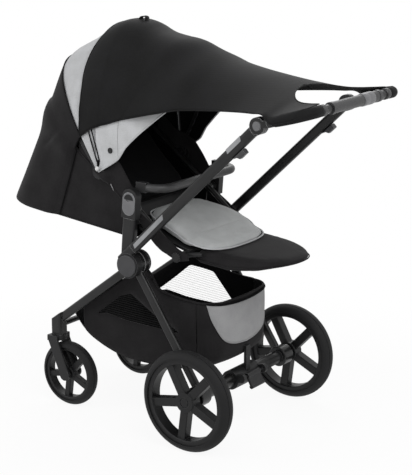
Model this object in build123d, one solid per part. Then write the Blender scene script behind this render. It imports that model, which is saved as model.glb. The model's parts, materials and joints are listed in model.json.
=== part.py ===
from build123d import *
import math
import os

os.makedirs("parts", exist_ok=True)

# A baby stroller with its seat facing the handle, hood up, sun sail hooked on the handle.
# Millimetres. +X is the left side as it is pushed, +Y points to the handle, Z = 0 is the floor.

# General fits
running_gap = 0.05      # radial gap of a pin in its bore
side_gap = 1.0          # between parts that turn beside each other
seat_gap = 0.2          # between parts that are seated on each other
cloth_gap = 0.8         # between cloth and what it lies on

# Rear wheels and axle
rear_axle_y = 183.8
rear_wheel_radius = 145.0
rear_wheel_width = 48.0
rear_ring_depth = 36.0
rear_track = 533.0
rear_hub_radius = 29.0
rear_spoke_width = 25.0
axle_tube_radius = 19.0
axle_boss_radius = 30.0
boss_overhang = 5.0      # inside the rear leg
wheel_clearance = 6.0    # between boss and wheel
wheel_pin_radius = 6.0

# Front wheels and casters
front_wheel_radius = 98.0
front_wheel_width = 38.0
front_ring_depth = 26.0
front_track = 336.0
front_hub_radius = 20.0
front_spoke_width = 18.0
caster_ahead = 542.0    # caster stems ahead of the rear axle
caster_trail = 40.0
fork_gap = 2.5          # beside the wheel
fork_arm_thickness = 9.0
fork_arm_width = 34.0
fork_crown_height = 17.0
stem_radius = 8.0
stem_length = 44.0
barrel_size = 36.0
barrel_corner = 7.0
barrel_height = 56.0
barrel_bottom = 215.0
cross_tube_radius = 9.0

# Wheel details shared by both sizes
spoke_count = 5
spoke_phase = 46.6
tyre_depth_share = 0.62     # tyre's part of the ring, the rest is the rim
tyre_crown = 0.36           # height of the round tread as a share of the width
groove_place = 0.36         # tread grooves, as a share of the half width
groove_width = 2.0
groove_depth = 1.5
rim_chamfer = 2.0
spoke_round = 3.0
rim_inset = 4.0
spoke_inset = 9.0
hub_front_inset = 6.0

# Fold hubs, in layers from the inside of the frame outwards
hub_ahead = 228.0
hub_height = 488.0
hub_radius = 36.0
hub_inner_x = 171.0
hub_disc_width = 6.0
front_knuckle_width = 18.5
rear_knuckle_width = 16.0
hub_housing_width = 23.5
knuckle_radius = 34.0
hub_pin_radius = 8.0
hub_cap_radius = 31.0
hub_cap_height = 5.0

# Legs
leg_depth = 26.0
front_leg_width = 17.0
leg_corner = 7.0

# Push tubes
tube_x = 227.0
tube_width = 20.0
tube_depth = 30.0
tube_corner = 9.0
tube_wall = 1.8
tube_angle = 43.3
tube_offset = 26.0      # from the hub axis to the tube's centre line
tube_length = 612.0     # from the hub to the handle pivot
tube_socket = 46.0

# Handle
handle_disc_radius = 23.0
handle_disc_width = 10.5
handle_pin_radius = 6.0
handle_arm_length = 157.0
handle_arm_angle = 16.7
handle_bar_radius = 12.0
handle_bend = 42.0
handle_tongue = 34.0
grip_radius = 15.5
grip_length = 230.0
collar_radius = 16.5
collar_length = 14.0
button_radius = 12.0
button_height = 5.0
button_travel = 3.0
button_pocket = 6.0
button_gap = 0.4
tab_length = 44.0
tab_height = 15.0
tab_from_pivot = 78.0
tab_gap = 0.5

# Seat posts, adaptors and their release buttons
post_width = 21.0
post_depth = 42.0
post_lean = 4.5
post_foot_ahead = 250.0
post_top_rise = 129.0    # above the fold hubs
adaptor_width = 50.0
adaptor_height = 86.0
adaptor_thickness = 23.5
adaptor_round = 2.5
release_width = 39.0
release_height = 63.0
release_pocket = 9.0
release_thickness = 7.0
release_proud = 1.5
release_travel = 3.0

# Seat frame, rim of the tub and hood pivot
hood_pivot_ahead = 357.0
hood_pivot_rise = 245.0  # above the fold hubs
rim_slope = 38.0
seat_tube_radius = 8.0
seat_tube_x = 174.0
seat_tube_rear = 275.0  # along the rim behind the hood pivot
seat_tube_front = 140.0 # along the rim ahead of it
seat_tube_bend = 135.0
rim_drop = 8.6          # rim of the tub under the seat tube's centre line

# Seat tub
tub_front_ahead = 250.0
tub_wall = 4.0
tub_floor = 5.0
tub_front_rise = 31.0    # floor of the tub above the leg rest pivot
tub_rear_rise = 84.0
tub_rear_ahead = 734.0
tub_top_width = 376.0
tub_bottom_width = 352.0
tub_corner = 110.0
tub_rim_corner = 150.0
tub_rim_rear = 300.0

# Seat board, backrest and cushions
board_thickness = 8.0
board_front_ahead = 66.0
board_rise = 20.0        # front of the seat board above the leg rest pivot
board_slope = 14.0
board_length = 186.0
recline_rod_radius = 4.0
recline_rod_back = 22.0
backrest_inset = 16.0    # from the seat board's side to the backrest's
backrest_length = 318.0
backrest_angle = 45.0
backrest_eye = 9.0
ear_thickness = 7.0
pad_thickness = 30.0
pad_draw_in = 5.0
pad_edge = 12.0
pad_inset = 6.0
strap_width = 38.0
strap_thickness = 3.0
strap_spread = 95.0
buckle_strap_place = 0.68 # of the seat board's length
buckle_place = 0.86

# Leg rest
leg_pivot_ahead = 95.0
leg_pivot_rise = 34.0    # above the fold hubs
leg_eye_radius = 14.0
leg_pin_radius = 5.0
leg_rest_ahead = 58.0
leg_rest_rise = 27.0     # top of the leg rest above its pivot
leg_rest_slope = 5.0
leg_rest_width = 300.0
leg_rest_side = 80.0
leg_rest_length = 262.0
leg_rest_thickness = 32.0
leg_rest_round = 9.0
leg_pad_length = 96.0
leg_pad_thickness = 14.0
knob_radius = 13.0
knob_height = 10.0

# Bumper bar
bumper_x = 184.0
bumper_rise = 218.0      # above the fold hubs
bumper_ahead = 143.0
bumper_socket_ahead = 212.0
bumper_radius = 12.0
bumper_bend = 45.0
socket_width = 16.0
socket_depth = 34.0
socket_height = 28.0
plug_radius = 6.0
plug_length = 14.0
plug_gap = 0.6
gate_pin_radius = 4.0
gate_tongue = 10.0
gate_eye_radius = 7.5

# Hood. Each section is an arch in a plane through the hood pivots:
# angle, share of the half width, share of the height, and the power that sets how square it is.
hood_half_width = 206.0
hood_height = 415.0
hood_cloth = 3.0
hood_foot = 24.0
hood_rear_arches = [(143.5, 0.985, 0.768, 0.70), (138.0, 0.988, 0.792, 0.74), (130.0, 0.990, 0.851, 0.82),
                    (112.0, 0.995, 0.930, 0.85), (92.0, 1.0, 0.990, 0.85)]
hood_front_arches = [(90.5, 1.0, 0.992, 0.85), (61.0, 1.0, 1.0, 0.85), (42.0, 0.98, 0.952, 0.85)]
bow_rear_angle = 128.6
bow_mid_angle = 93.2
bow_front_angle = 61.0
bow_width = 10.0
bow_thickness = 4.0
bow_gap = 4.0
bow_eye_radius = 11.0
hood_plate_radius = 20.0
hood_plate_thickness = 4.0
hood_pin_radius = 4.0

# Sun sail
sail_cloth = 2.0
sail_gap = 2.05
sail_rear_angle = 104.0
sail_edge_rise = 112.0          # lower edge at the rear corners, above the hood pivot
sail_edge_slope = 16.0          # lower edge rises to the front by this many degrees
# Sections between hood and handle: share of the way, of the end's half width,
# of the rise to the bar, of the hood's height
sail_stations = [(0.448, 0.870, 0.858, 0.270), (0.632, 0.902, 0.912, 0.174), (0.809, 0.943, 0.975, 0.082)]
sail_end_width = 246.0
sail_end_rise = 5.0
bar_overlap = 6.0
grip_opening_width = 350.0
grip_opening_depth = 150.0
grip_opening_cut = 120.0        # above and below the bar

# Basket: outline in the middle plane, ahead of the rear axle and above the floor
basket_half_width = 150.0
basket_wall = 3.0
basket_nose = (505.0, 288.0)
basket_front_low = (439.0, 222.0)
basket_bottom_front = (320.0, 181.0)
basket_bottom_rear = (70.0, 188.0)
basket_rear_low = (-12.0, 240.0)
basket_rear_top = (-12.0, 388.0)
basket_side_dip = (100.0, 391.0)
basket_side_fall = (184.0, 408.0)
basket_side_top = (244.0, 462.0)
basket_rear_bow = 18.0   # rear wall is bowed backwards by this much
hanger_width = 28.0
hanger_overlap = 34.0    # on the basket's side wall
hanger_reach = 6.0       # above the hub axis
pocket_thickness = 5.0
pocket_half_width = 140.0
pocket_low = 252.0
pocket_top = 386.0
pocket_dip = 9.0         # of the mouth in the middle
# Half outline under the mouth: share of the half width, share of the height
pocket_curve = [(0.93, 0.60), (0.74, 0.21), (0.42, 0.05)]

# Brake
brake_width = 120.0
brake_radius = 28.0
brake_rib_width = 10.0
pedal_width = 62.0
pedal_reach = 34.0
pedal_thickness = 10.0
pedal_eye_radius = 8.0
pedal_pin_radius = 3.0
pedal_back = 38.0
pedal_lift = 12.0
stay_width = 20.0
stay_depth = 9.0
stay_top = 238.0


# Working places that follow from the sizes above
def ahead(distance):
    return rear_axle_y - distance


def heading(angle):
    return math.cos(math.radians(angle)), math.sin(math.radians(angle))


leg_pivot_height = hub_height + leg_pivot_rise
post_top_height = hub_height + post_top_rise
bumper_height = hub_height + bumper_rise
hood_z = hub_height + hood_pivot_rise
sail_edge_height = hood_z + sail_edge_rise

hub_y = ahead(hub_ahead)
caster_y = ahead(caster_ahead)
front_axle_y = caster_y + caster_trail
hood_y = ahead(hood_pivot_ahead)
wheel_x = rear_track / 2
front_x = front_track / 2
tub_front_floor = leg_pivot_height + tub_front_rise
tub_rear_floor = leg_pivot_height + tub_rear_rise
leg_rest_top = leg_pivot_height + leg_rest_rise
board_width = 2 * (seat_tube_x - seat_tube_radius - seat_gap)
backrest_width = board_width - 2 * backrest_inset

disc_x = hub_inner_x + hub_disc_width
front_knuckle_x = disc_x + side_gap
rear_knuckle_x = front_knuckle_x + front_knuckle_width + side_gap
housing_x = rear_knuckle_x + rear_knuckle_width + side_gap
cap_x = housing_x + hub_housing_width
front_leg_x = front_knuckle_x + front_knuckle_width / 2
rear_leg_x = rear_knuckle_x + rear_knuckle_width / 2
boss_x = rear_knuckle_x - boss_overhang

tube_dir = heading(tube_angle)
tube_start = (hub_y - tube_offset * tube_dir[1], hub_height + tube_offset * tube_dir[0])
pivot_y = tube_start[0] + tube_length * tube_dir[0]
pivot_z = tube_start[1] + tube_length * tube_dir[1]
arm_dir = heading(handle_arm_angle)
bar_y = pivot_y + handle_arm_length * arm_dir[0]
bar_z = pivot_z + handle_arm_length * arm_dir[1]


def tube_point(distance, across=0.0):
    y = tube_start[0] + distance * tube_dir[0] - across * tube_dir[1]
    z = tube_start[1] + distance * tube_dir[1] + across * tube_dir[0]
    return y, z


# Shapes used by many parts
def side(x):
    return Plane(origin=(x, 0, 0), x_dir=(0, 1, 0), z_dir=(1, 0, 0))


def disc(x, width, y, z, radius):
    return extrude(side(x) * Pos(y, z) * Circle(radius), amount=width)


def ring(x, width, y, z, radius, bore):
    return disc(x, width, y, z, radius) - disc(x - 1, width + 2, y, z, bore)


def bar(start, end, width, depth, corner):
    way = Vector(*end) - Vector(*start)
    plane = Plane(origin=start, x_dir=(1, 0, 0), z_dir=way.normalized())
    return extrude(plane * RectangleRounded(width, depth, corner), amount=way.length)


def rod(points, radius, bends):
    path = FilletPolyline(*points, radius=bends)
    start = Plane(origin=path @ 0, z_dir=path % 0)
    return sweep(start * Circle(radius), path=path)


def block(x, width, y, depth, z, height):
    return Pos(x + width / 2, y + depth / 2, z + height / 2) * Box(width, depth, height)


def save(name, shape):
    export_step(shape, os.path.join("parts", name + ".step"))


def save_pair(name, shape):
    save(name + "_left", shape)
    save(name + "_right", mirror(shape, about=Plane.YZ))


def both(shape):
    return shape + mirror(shape, about=Plane.YZ)


def group(*solids):
    return Compound(children=[s for shape in solids for s in shape.solids()])


# Wheels: a tyre with a round tread on a five-spoke rim, built round the X axis
def tyre(radius, width, bead):
    half = width / 2
    shoulder = radius - tyre_crown * width
    tread = ThreePointArc((half, shoulder), (0, radius), (-half, shoulder))
    walls = Polyline((-half, shoulder), (-half, bead), (half, bead), (half, shoulder))
    body = revolve(Plane.XZ * make_face([tread, walls]), axis=Axis.X)
    for x in (-groove_place * half, groove_place * half):
        sink = tyre_crown * width * groove_place ** 2 + groove_depth
        body -= ring(x - groove_width / 2, groove_width, 0, 0, radius + 1, radius - sink)
    return body


def rim(radius, width, ring_inner, hub_radius, spoke_width):
    face = width / 2 - rim_inset
    hub_face = width / 2 - hub_front_inset
    spoke_depth = width - 2 * spoke_inset
    lip = ring_inner + rim_chamfer
    flat = face - rim_chamfer
    section = Polyline((-face, lip), (-flat, ring_inner), (flat, ring_inner), (face, lip),
                       (face, radius), (-face, radius), close=True)
    body = revolve(Plane.XZ * make_face(section), axis=Axis.X)
    reach = ring_inner + (radius - ring_inner) / 2
    for k in range(spoke_count):
        c, s = heading(spoke_phase + k * 360 / spoke_count)
        root = hub_radius / 2
        body += bar((0, root * c, root * s), (0, reach * c, reach * s), spoke_depth, spoke_width, spoke_round)
    hub = disc(-hub_face, 2 * hub_face, 0, 0, hub_radius)
    body += fillet(hub.edges().filter_by(GeomType.CIRCLE), rim_chamfer)
    body -= ring(hub_face - 2, 3, 0, 0, hub_radius * 0.52, hub_radius * 0.38)
    bore = wheel_pin_radius + running_gap
    return body - disc(-width, width + hub_face - 6, 0, 0, bore)


def wheel_pair(name, x, y, radius, width, depth, hub_radius, spoke_width):
    bead = radius - depth * tyre_depth_share
    place = Pos(x, y, radius)
    save_pair(name + "_tyre", place * tyre(radius, width, bead))
    save_pair(name + "_rim", place * rim(bead - seat_gap, width, radius - depth, hub_radius, spoke_width))


def pin_length(width):
    return width - hub_front_inset - 6 - 1


wheel_pair("rear", wheel_x, rear_axle_y, rear_wheel_radius, rear_wheel_width, rear_ring_depth,
           rear_hub_radius, rear_spoke_width)
wheel_pair("front", front_x, front_axle_y, front_wheel_radius, front_wheel_width, front_ring_depth,
           front_hub_radius, front_spoke_width)


# Fold hubs: housing with the tube socket and the hub pin, a cap outside and a disc inside
def fold_hub():
    socket_start = tube_point(-12)
    socket_end = tube_point(tube_socket)
    housing = disc(housing_x, hub_housing_width, hub_y, hub_height, hub_radius)
    housing += bar((tube_x, *socket_start), (tube_x, *socket_end), tube_width, tube_depth, tube_corner)
    return housing + disc(disc_x, housing_x - disc_x, hub_y, hub_height, hub_pin_radius)


def hub_cap():
    cap = disc(cap_x, hub_cap_height, hub_y, hub_height, hub_cap_radius)
    return fillet(cap.edges().group_by(Axis.X)[-1], hub_cap_height * 0.6)


save_pair("fold_hub", fold_hub())
save("hub_caps", both(hub_cap()))
save("hub_inner_discs", both(disc(hub_inner_x, hub_disc_width, hub_y, hub_height, knuckle_radius)))


# Legs hang on the hub pins, and the barrels at the front ends carry the casters
def knuckle(x, width):
    return ring(x, width, hub_y, hub_height, knuckle_radius, hub_pin_radius + running_gap)


leg_run = caster_y - hub_y
leg_end_z = barrel_bottom + barrel_height - leg_depth * 0.55
leg_slope = math.atan2(hub_height - leg_end_z, -leg_run)


def barrel_core(grow, height):
    plane = Plane(origin=(front_x, caster_y, barrel_bottom))
    size = barrel_size + 2 * grow
    return extrude(plane * RectangleRounded(size, size, barrel_corner + grow), amount=height)


def caster_barrel():
    reach = barrel_size
    rise = leg_depth / 2 / math.cos(leg_slope)
    fall = reach * math.tan(leg_slope)
    top = leg_end_z + rise
    above = Polyline((caster_y - reach, top - fall), (caster_y + reach, top + fall),
                     (caster_y + reach, top + fall + reach), (caster_y - reach, top + fall + reach), close=True)
    barrel = barrel_core(0, barrel_height + reach)
    barrel -= extrude(side(front_x - reach) * make_face(above), amount=2 * reach)
    bore = Cylinder(stem_radius + running_gap, stem_length + 6)
    return barrel - Pos(front_x, caster_y, barrel_bottom + stem_length / 2) * bore


def front_leg():
    end = (front_x, caster_y, leg_end_z)
    leg = bar((front_leg_x, hub_y, hub_height), end, front_leg_width, leg_depth, leg_corner)
    leg = leg - disc(0, rear_track, hub_y, hub_height, knuckle_radius - 4)
    leg = leg - barrel_core(seat_gap, 2 * barrel_height)
    piece = leg + knuckle(front_knuckle_x, front_knuckle_width)
    return piece.solids().sort_by(SortBy.VOLUME)[-1]


def rear_leg():
    boss_length = wheel_x - rear_wheel_width / 2 - wheel_clearance - boss_x
    start = (rear_leg_x, hub_y, hub_height)
    end = (rear_leg_x, rear_axle_y, rear_wheel_radius)
    leg = bar(start, end, rear_knuckle_width, leg_depth, leg_corner)
    leg = leg - disc(0, rear_track, hub_y, hub_height, knuckle_radius - 4)
    leg += knuckle(rear_knuckle_x, rear_knuckle_width)
    boss = disc(boss_x, boss_length, rear_axle_y, rear_wheel_radius, axle_boss_radius)
    leg += fillet(boss.edges().filter_by(GeomType.CIRCLE), 3)
    stub = boss_length + wheel_clearance + pin_length(rear_wheel_width)
    return leg + disc(boss_x, stub, rear_axle_y, rear_wheel_radius, wheel_pin_radius)


def rear_axle():
    half = boss_x
    return ring(-half, 2 * half, rear_axle_y, rear_wheel_radius, axle_tube_radius, axle_tube_radius - tube_wall)


def cross_tube():
    half = front_x - barrel_size / 2 - seat_gap
    z = barrel_bottom + barrel_height / 2
    return ring(-half, 2 * half, caster_y + 4, z, cross_tube_radius, cross_tube_radius - tube_wall)


save_pair("front_leg", front_leg())
save("caster_barrels", both(caster_barrel()))
save("front_cross_tube", cross_tube())
save_pair("rear_leg", rear_leg())
save("rear_axle", rear_axle())


# Caster forks: a crown under the barrel, two arms that lean back to the wheel, stem and wheel pin
def caster_fork():
    top = barrel_bottom - side_gap
    inner = front_wheel_width / 2 + fork_gap
    crown_width = 2 * (inner + fork_arm_thickness)
    crown_z = top - fork_crown_height / 2
    crown = Pos(front_x, caster_y, crown_z) * Cylinder(barrel_size * 0.62, fork_crown_height)
    crown += Pos(front_x, caster_y - 4, crown_z) * Box(crown_width, fork_arm_width + 2, fork_crown_height)
    lean = math.atan2(crown_z - front_wheel_radius, caster_y - 6 - front_axle_y)
    for sign in (-1, 1):
        x = front_x + sign * (inner + fork_arm_thickness / 2)
        start = (x, front_axle_y, front_wheel_radius)
        end = (x, caster_y - 6, crown_z + 2)
        crown += bar(start, end, fork_arm_thickness, fork_arm_width, 3)
        crown += disc(x - fork_arm_thickness / 2, fork_arm_thickness, front_axle_y, front_wheel_radius,
                      fork_arm_width / 2)
    above = Box(2 * crown_width, 2 * front_wheel_radius, 2 * fork_arm_width)
    crown -= Pos(front_x, caster_y, top + fork_arm_width) * above
    crown -= disc(front_x - inner, 2 * inner, front_axle_y, front_wheel_radius, front_wheel_radius + 5)
    crown += Pos(front_x, caster_y, top + stem_length / 2 - 5) * Cylinder(stem_radius, stem_length + 10)
    crown -= disc(front_x - inner, 2 * inner, front_axle_y, front_wheel_radius, front_wheel_radius + 5)
    return crown + disc(front_x - inner - 2, 2 + inner - front_wheel_width / 2 + pin_length(front_wheel_width),
                        front_axle_y, front_wheel_radius, wheel_pin_radius)


save_pair("caster_fork", caster_fork())


# Brake on the rear axle: ribbed housing, a stay towards the basket and a foot pedal on a pin
pedal_y = rear_axle_y + pedal_back
pedal_z = rear_wheel_radius + pedal_lift


def brake_housing():
    half = brake_width / 2
    bore = axle_tube_radius + seat_gap
    housing = ring(-half, brake_width, rear_axle_y, rear_wheel_radius, brake_radius, bore)
    for x in (-half, half - brake_rib_width):
        cheek = bar((x + brake_rib_width / 2, rear_axle_y, rear_wheel_radius),
                    (x + brake_rib_width / 2, pedal_y, pedal_z), brake_rib_width, 26, 3)
        cheek += disc(x, brake_rib_width, pedal_y, pedal_z, 13)
        housing += cheek
    housing += block(-stay_width / 2, stay_width, rear_axle_y + 14, stay_depth, rear_wheel_radius,
                     stay_top - rear_wheel_radius)
    housing -= disc(-half - 1, brake_width + 2, rear_axle_y, rear_wheel_radius, bore)
    return housing + disc(-half, brake_width, pedal_y, pedal_z, pedal_pin_radius)


def brake_pedal():
    bore = pedal_pin_radius + running_gap
    half = pedal_width / 2
    down = heading(-62)
    tip = (0, pedal_y + pedal_reach * down[0], pedal_z + pedal_reach * down[1])
    pedal = bar((0, pedal_y, pedal_z), tip, pedal_width, pedal_thickness, 4)
    pedal += disc(-half, pedal_width, tip[1], tip[2], pedal_thickness * 0.62)
    pedal += disc(-half, pedal_width, pedal_y, pedal_z, pedal_eye_radius)
    return pedal - disc(-half - 1, pedal_width + 2, pedal_y, pedal_z, bore)


save("brake_housing", brake_housing())
save("brake_pedal", brake_pedal())


# Push tubes end at the handle joints, which carry the pins of the handle
def push_tube():
    start = (tube_x, *tube_point(tube_socket))
    end = (tube_x, *tube_point(tube_length - handle_disc_radius - 1.5))
    thin = 2 * tube_wall
    core = bar(start, end, tube_width - thin, tube_depth - thin, tube_corner - tube_wall)
    return bar(start, end, tube_width, tube_depth, tube_corner) - core


joint_x = tube_x - tube_width / 2
joint_width = 11.0
handle_x = joint_x + joint_width + 0.5


def handle_joint():
    neck_start = tube_point(tube_length - handle_disc_radius - 1.5)
    mid = joint_x + joint_width / 2
    joint = disc(joint_x, joint_width, pivot_y, pivot_z, handle_disc_radius)
    joint += bar((mid, *neck_start), (mid, pivot_y, pivot_z), joint_width, tube_depth, 3)
    pin = handle_disc_width + 0.5 - button_pocket
    return joint + disc(joint_x, joint_width + pin, pivot_y, pivot_z, handle_pin_radius)


def handle_bar():
    arm_x = handle_x + handle_disc_width / 2
    start = (arm_x, pivot_y + handle_tongue * arm_dir[0], pivot_z + handle_tongue * arm_dir[1])
    corner = (arm_x, bar_y, bar_z)
    points = [start, corner, (-arm_x, bar_y, bar_z), (-start[0], start[1], start[2])]
    handle = rod(points, handle_bar_radius, handle_bend)
    tongue = bar((arm_x, pivot_y, pivot_z), (arm_x, start[1] + 4, start[2] + 1), handle_disc_width, 22, 3)
    tongue += disc(handle_x, handle_disc_width, pivot_y, pivot_z, handle_disc_radius)
    tongue -= disc(handle_x - 1, handle_disc_width + 2, pivot_y, pivot_z, handle_pin_radius + running_gap)
    pocket_x = handle_x + handle_disc_width - button_pocket
    tongue -= disc(pocket_x, button_pocket + 1, pivot_y, pivot_z, button_radius + button_gap)
    return handle + both(tongue)


def handle_button():
    start = handle_x + handle_disc_width - button_pocket + button_travel + 0.4
    button = disc(start, button_height, pivot_y, pivot_z, button_radius)
    return fillet(button.edges().group_by(Axis.X)[-1], 1.5)


def grip_ring(x, length, radius):
    return ring(x, length, bar_y, bar_z, radius, handle_bar_radius + seat_gap / 2)


def fold_tab():
    across = -(tube_depth / 2 + tab_gap + tab_height / 2)
    start = tube_point(tube_length - tab_from_pivot - tab_length, across)
    end = tube_point(tube_length - tab_from_pivot, across)
    tab = bar((tube_x, *start), (tube_x, *end), tube_width - 2, tab_height, 4)
    scoop = disc(tube_x - 20, 40, *tube_point(tube_length - tab_from_pivot - tab_length, across - 14), 20)
    return tab - scoop


save_pair("push_tube", push_tube())
save("handle_joints", both(handle_joint()))
save("handle_bar", handle_bar())
save_pair("handle_button", handle_button())
save("handle_grip", grip_ring(-grip_length / 2, grip_length, grip_radius))
save("grip_collars", both(grip_ring(grip_length / 2, collar_length, collar_radius)))
save_pair("fold_tab", fold_tab())


# Seat posts stand on the hubs and carry the adaptors, which hold the seat frame
adaptor_x = housing_x - post_width - 1
lean_dir = heading(90 - post_lean)
post_foot = (ahead(post_foot_ahead), hub_height + 4)
post_rise = (post_top_height - post_foot[1]) / lean_dir[1]
post_top = (post_foot[0] + post_rise * lean_dir[0], post_top_height)
adaptor_mid = (post_top[0] + adaptor_height / 2 * lean_dir[0], post_top[1] + adaptor_height / 2 * lean_dir[1])


def lean_plane(x, y, z):
    return side(x) * Pos(y, z) * Rot(0, 0, -post_lean)


def seat_post():
    x = housing_x - post_width / 2
    post = bar((x, *post_foot), (x, *post_top), post_width, post_depth, 6)
    return post - disc(0, rear_track, hub_y, hub_height, hub_radius + side_gap)


def release_outline(grow):
    return SlotOverall(release_height + 2 * grow, release_width + 2 * grow, rotation=90)


def seat_adaptor():
    half = adaptor_height / 2
    arch = adaptor_width / 2
    outline = Pos(0, -arch / 2) * Rectangle(adaptor_width, adaptor_height - arch)
    outline += Pos(0, half - arch) * Circle(arch)
    body = extrude(lean_plane(adaptor_x, *adaptor_mid) * outline, amount=adaptor_thickness)
    body = fillet(body.edges().group_by(Axis.X)[-1], adaptor_round)
    face_x = adaptor_x + adaptor_thickness
    pocket = lean_plane(face_x - release_pocket, *adaptor_mid) * release_outline(button_gap)
    return body - extrude(pocket, amount=release_pocket + 1)


def release_button():
    back = adaptor_x + adaptor_thickness + release_proud - release_thickness
    button = extrude(lean_plane(back, *adaptor_mid) * release_outline(0), amount=release_thickness)
    scoop_mid = (adaptor_mid[0], adaptor_mid[1] + release_height * 0.22)
    scoop = lean_plane(back + release_thickness - 2.5, *scoop_mid) * SlotOverall(20, 16)
    return button - extrude(scoop, amount=5)


save("seat_posts", both(seat_post()))
save("seat_adaptors", both(seat_adaptor()))
save_pair("seat_release_button", release_button())


# Seat frame: a tube from the leg rest pivots over the hood pivots and round the head end
rim_dir = heading(180 - rim_slope)


def rim_point(back, above=0.0):
    y = hood_y + back * rim_dir[0] + above * math.sin(math.radians(rim_slope))
    z = hood_z + back * rim_dir[1] + above * math.cos(math.radians(rim_slope))
    return y, z


leg_pivot_y = ahead(leg_pivot_ahead)
leg_pivot_z = leg_pivot_height


def seat_frame():
    front = rim_point(-seat_tube_front)
    rear = rim_point(seat_tube_rear)
    x = seat_tube_x
    near = [(x, leg_pivot_y, leg_pivot_z), (x, *front), (x, *rear)]
    far = [(-p[0], p[1], p[2]) for p in reversed(near)]
    frame = rod(near + far, seat_tube_radius, seat_tube_bend)
    tube_side = x + seat_tube_radius
    lug = disc(x, adaptor_x - x, adaptor_mid[0], adaptor_mid[1] - 20, seat_tube_radius + 5)
    eye = disc(x - seat_tube_radius, 2 * seat_tube_radius, leg_pivot_y, leg_pivot_z, leg_eye_radius)
    eye += disc(x - tube_side + board_width / 2 - 14, tube_side - board_width / 2 + 14, leg_pivot_y, leg_pivot_z,
                leg_pin_radius)
    return frame + both(lug) + both(eye)


def leg_knob():
    x = seat_tube_x + seat_tube_radius
    knob = disc(x, knob_height, leg_pivot_y, leg_pivot_z, knob_radius)
    return fillet(knob.edges().group_by(Axis.X)[-1], 3)


save("seat_frame", seat_frame())
save("leg_rest_knobs", both(leg_knob()))


# Seat tub: cloth walls and floor between a sloping rim and the head end, open above and in front
def tub_outline(plane, width, length, corner, front):
    half = width / 2
    turn = corner * (1 - math.sqrt(0.5))
    right = ThreePointArc((half, length - corner), (half - turn, length - turn), (half - corner, length))
    left = ThreePointArc((corner - half, length), (turn - half, length - turn), (-half, length - corner))
    sides = [
        Line((half, front), (half, length - corner)),
        right,
        Line((half - corner, length), (corner - half, length)),
        left,
        Line((-half, length - corner), (-half, front)),
        Line((-half, front), (half, front)),
    ]
    return plane * make_face(sides)


def tub_plane(y, z, direction):
    return Plane(origin=(0, y, z), x_dir=(1, 0, 0), z_dir=(0, -direction[1], direction[0]))


def seat_tub():
    front_y = ahead(tub_front_ahead)
    rear_y = ahead(tub_rear_ahead)
    run = math.hypot(front_y - rear_y, tub_rear_floor - tub_front_floor)
    floor_dir = ((rear_y - front_y) / run, (tub_rear_floor - tub_front_floor) / run)
    rim_front = (hood_y - front_y) / rim_dir[0] * -1
    rim_y, rim_z = rim_point(rim_front)
    rim_z -= rim_drop / math.cos(math.radians(rim_slope))
    rim_length = tub_rim_rear - rim_front
    low = tub_plane(front_y, tub_front_floor, floor_dir)
    high = tub_plane(rim_y, rim_z, rim_dir)
    outer = loft([tub_outline(low, tub_bottom_width, run, tub_corner, 0),
                  tub_outline(high, tub_top_width, rim_length, tub_rim_corner, 0)], ruled=True)
    inner_low = tub_plane(front_y, tub_front_floor + tub_floor, floor_dir)
    inner_high = tub_plane(rim_y, rim_z + 8, rim_dir)
    wall = tub_wall
    inner_width = tub_bottom_width - 2 * wall
    rim_width = tub_top_width - 2 * wall
    inner = loft([tub_outline(inner_low, inner_width, run - wall, tub_corner - wall, -30),
                  tub_outline(inner_high, rim_width, rim_length - wall, tub_rim_corner - wall, -30)], ruled=True)
    return outer - inner


save("seat_tub", seat_tub())


# Cushions: four sections whose sides are drawn in, fuller below the crown
def cushion_section(plane, width, length, inset, draw_in):
    w = width / 2 - inset
    h = length / 2 - inset
    sides = [
        ThreePointArc((-w, -h), (0, -h + draw_in), (w, -h)),
        ThreePointArc((w, -h), (w - draw_in, 0), (w, h)),
        ThreePointArc((w, h), (0, h - draw_in), (-w, h)),
        ThreePointArc((-w, h), (-w + draw_in, 0), (-w, -h)),
    ]
    return plane * make_face(sides)


def cushion(plane, width, length, thickness):
    steps = [(0.0, pad_edge * 0.6), (0.3, 0.0), (0.68, pad_edge * 0.35), (1.0, pad_edge * 2.2)]
    sections = []
    for height, inset in steps:
        level = plane.offset(thickness * height)
        sections.append(cushion_section(level, width, length, inset, pad_draw_in))
    return loft(sections, ruled=True)


# Seat board between the seat tubes, with the recline rod on its rear ears
board_dir = heading(180 - board_slope)
board_y = ahead(board_front_ahead)
board_z = leg_pivot_height + board_rise


def board_point(back, above=0.0):
    y = board_y + back * board_dir[0] + above * math.sin(math.radians(board_slope))
    z = board_z + back * board_dir[1] + above * math.cos(math.radians(board_slope))
    return y, z


recline_y, recline_z = board_point(board_length + recline_rod_back, -board_thickness / 2)


def up_plane(y, z, slope):
    c, s = heading(slope)
    return Plane(origin=(0, y, z), x_dir=(1, 0, 0), z_dir=(0, -s, c))


def seat_board():
    mid = board_point(board_length / 2)
    plane = up_plane(*mid, -board_slope)
    board = extrude(plane * RectangleRounded(board_width, board_length, 12), amount=-board_thickness)
    ear_x = backrest_width / 2 + side_gap
    start = board_point(board_length - 30, -board_thickness / 2)
    ear = bar((ear_x + ear_thickness / 2, *start), (ear_x + ear_thickness / 2, recline_y, recline_z),
              ear_thickness, board_thickness, 2)
    ear += disc(ear_x, ear_thickness, recline_y, recline_z, backrest_eye)
    rod_half = ear_x + ear_thickness
    return board + both(ear) + disc(-rod_half, 2 * rod_half, recline_y, recline_z, recline_rod_radius)


def seat_pad():
    mid = board_point(board_length / 2, cloth_gap / 2)
    return cushion(up_plane(*mid, -board_slope), board_width - pad_inset, board_length, pad_thickness)


save("seat_board", seat_board())
save("seat_pad", seat_pad())


# Backrest on the recline rod, with its pad and the shoulder straps
backrest_dir = heading(180 - backrest_angle)


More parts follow.
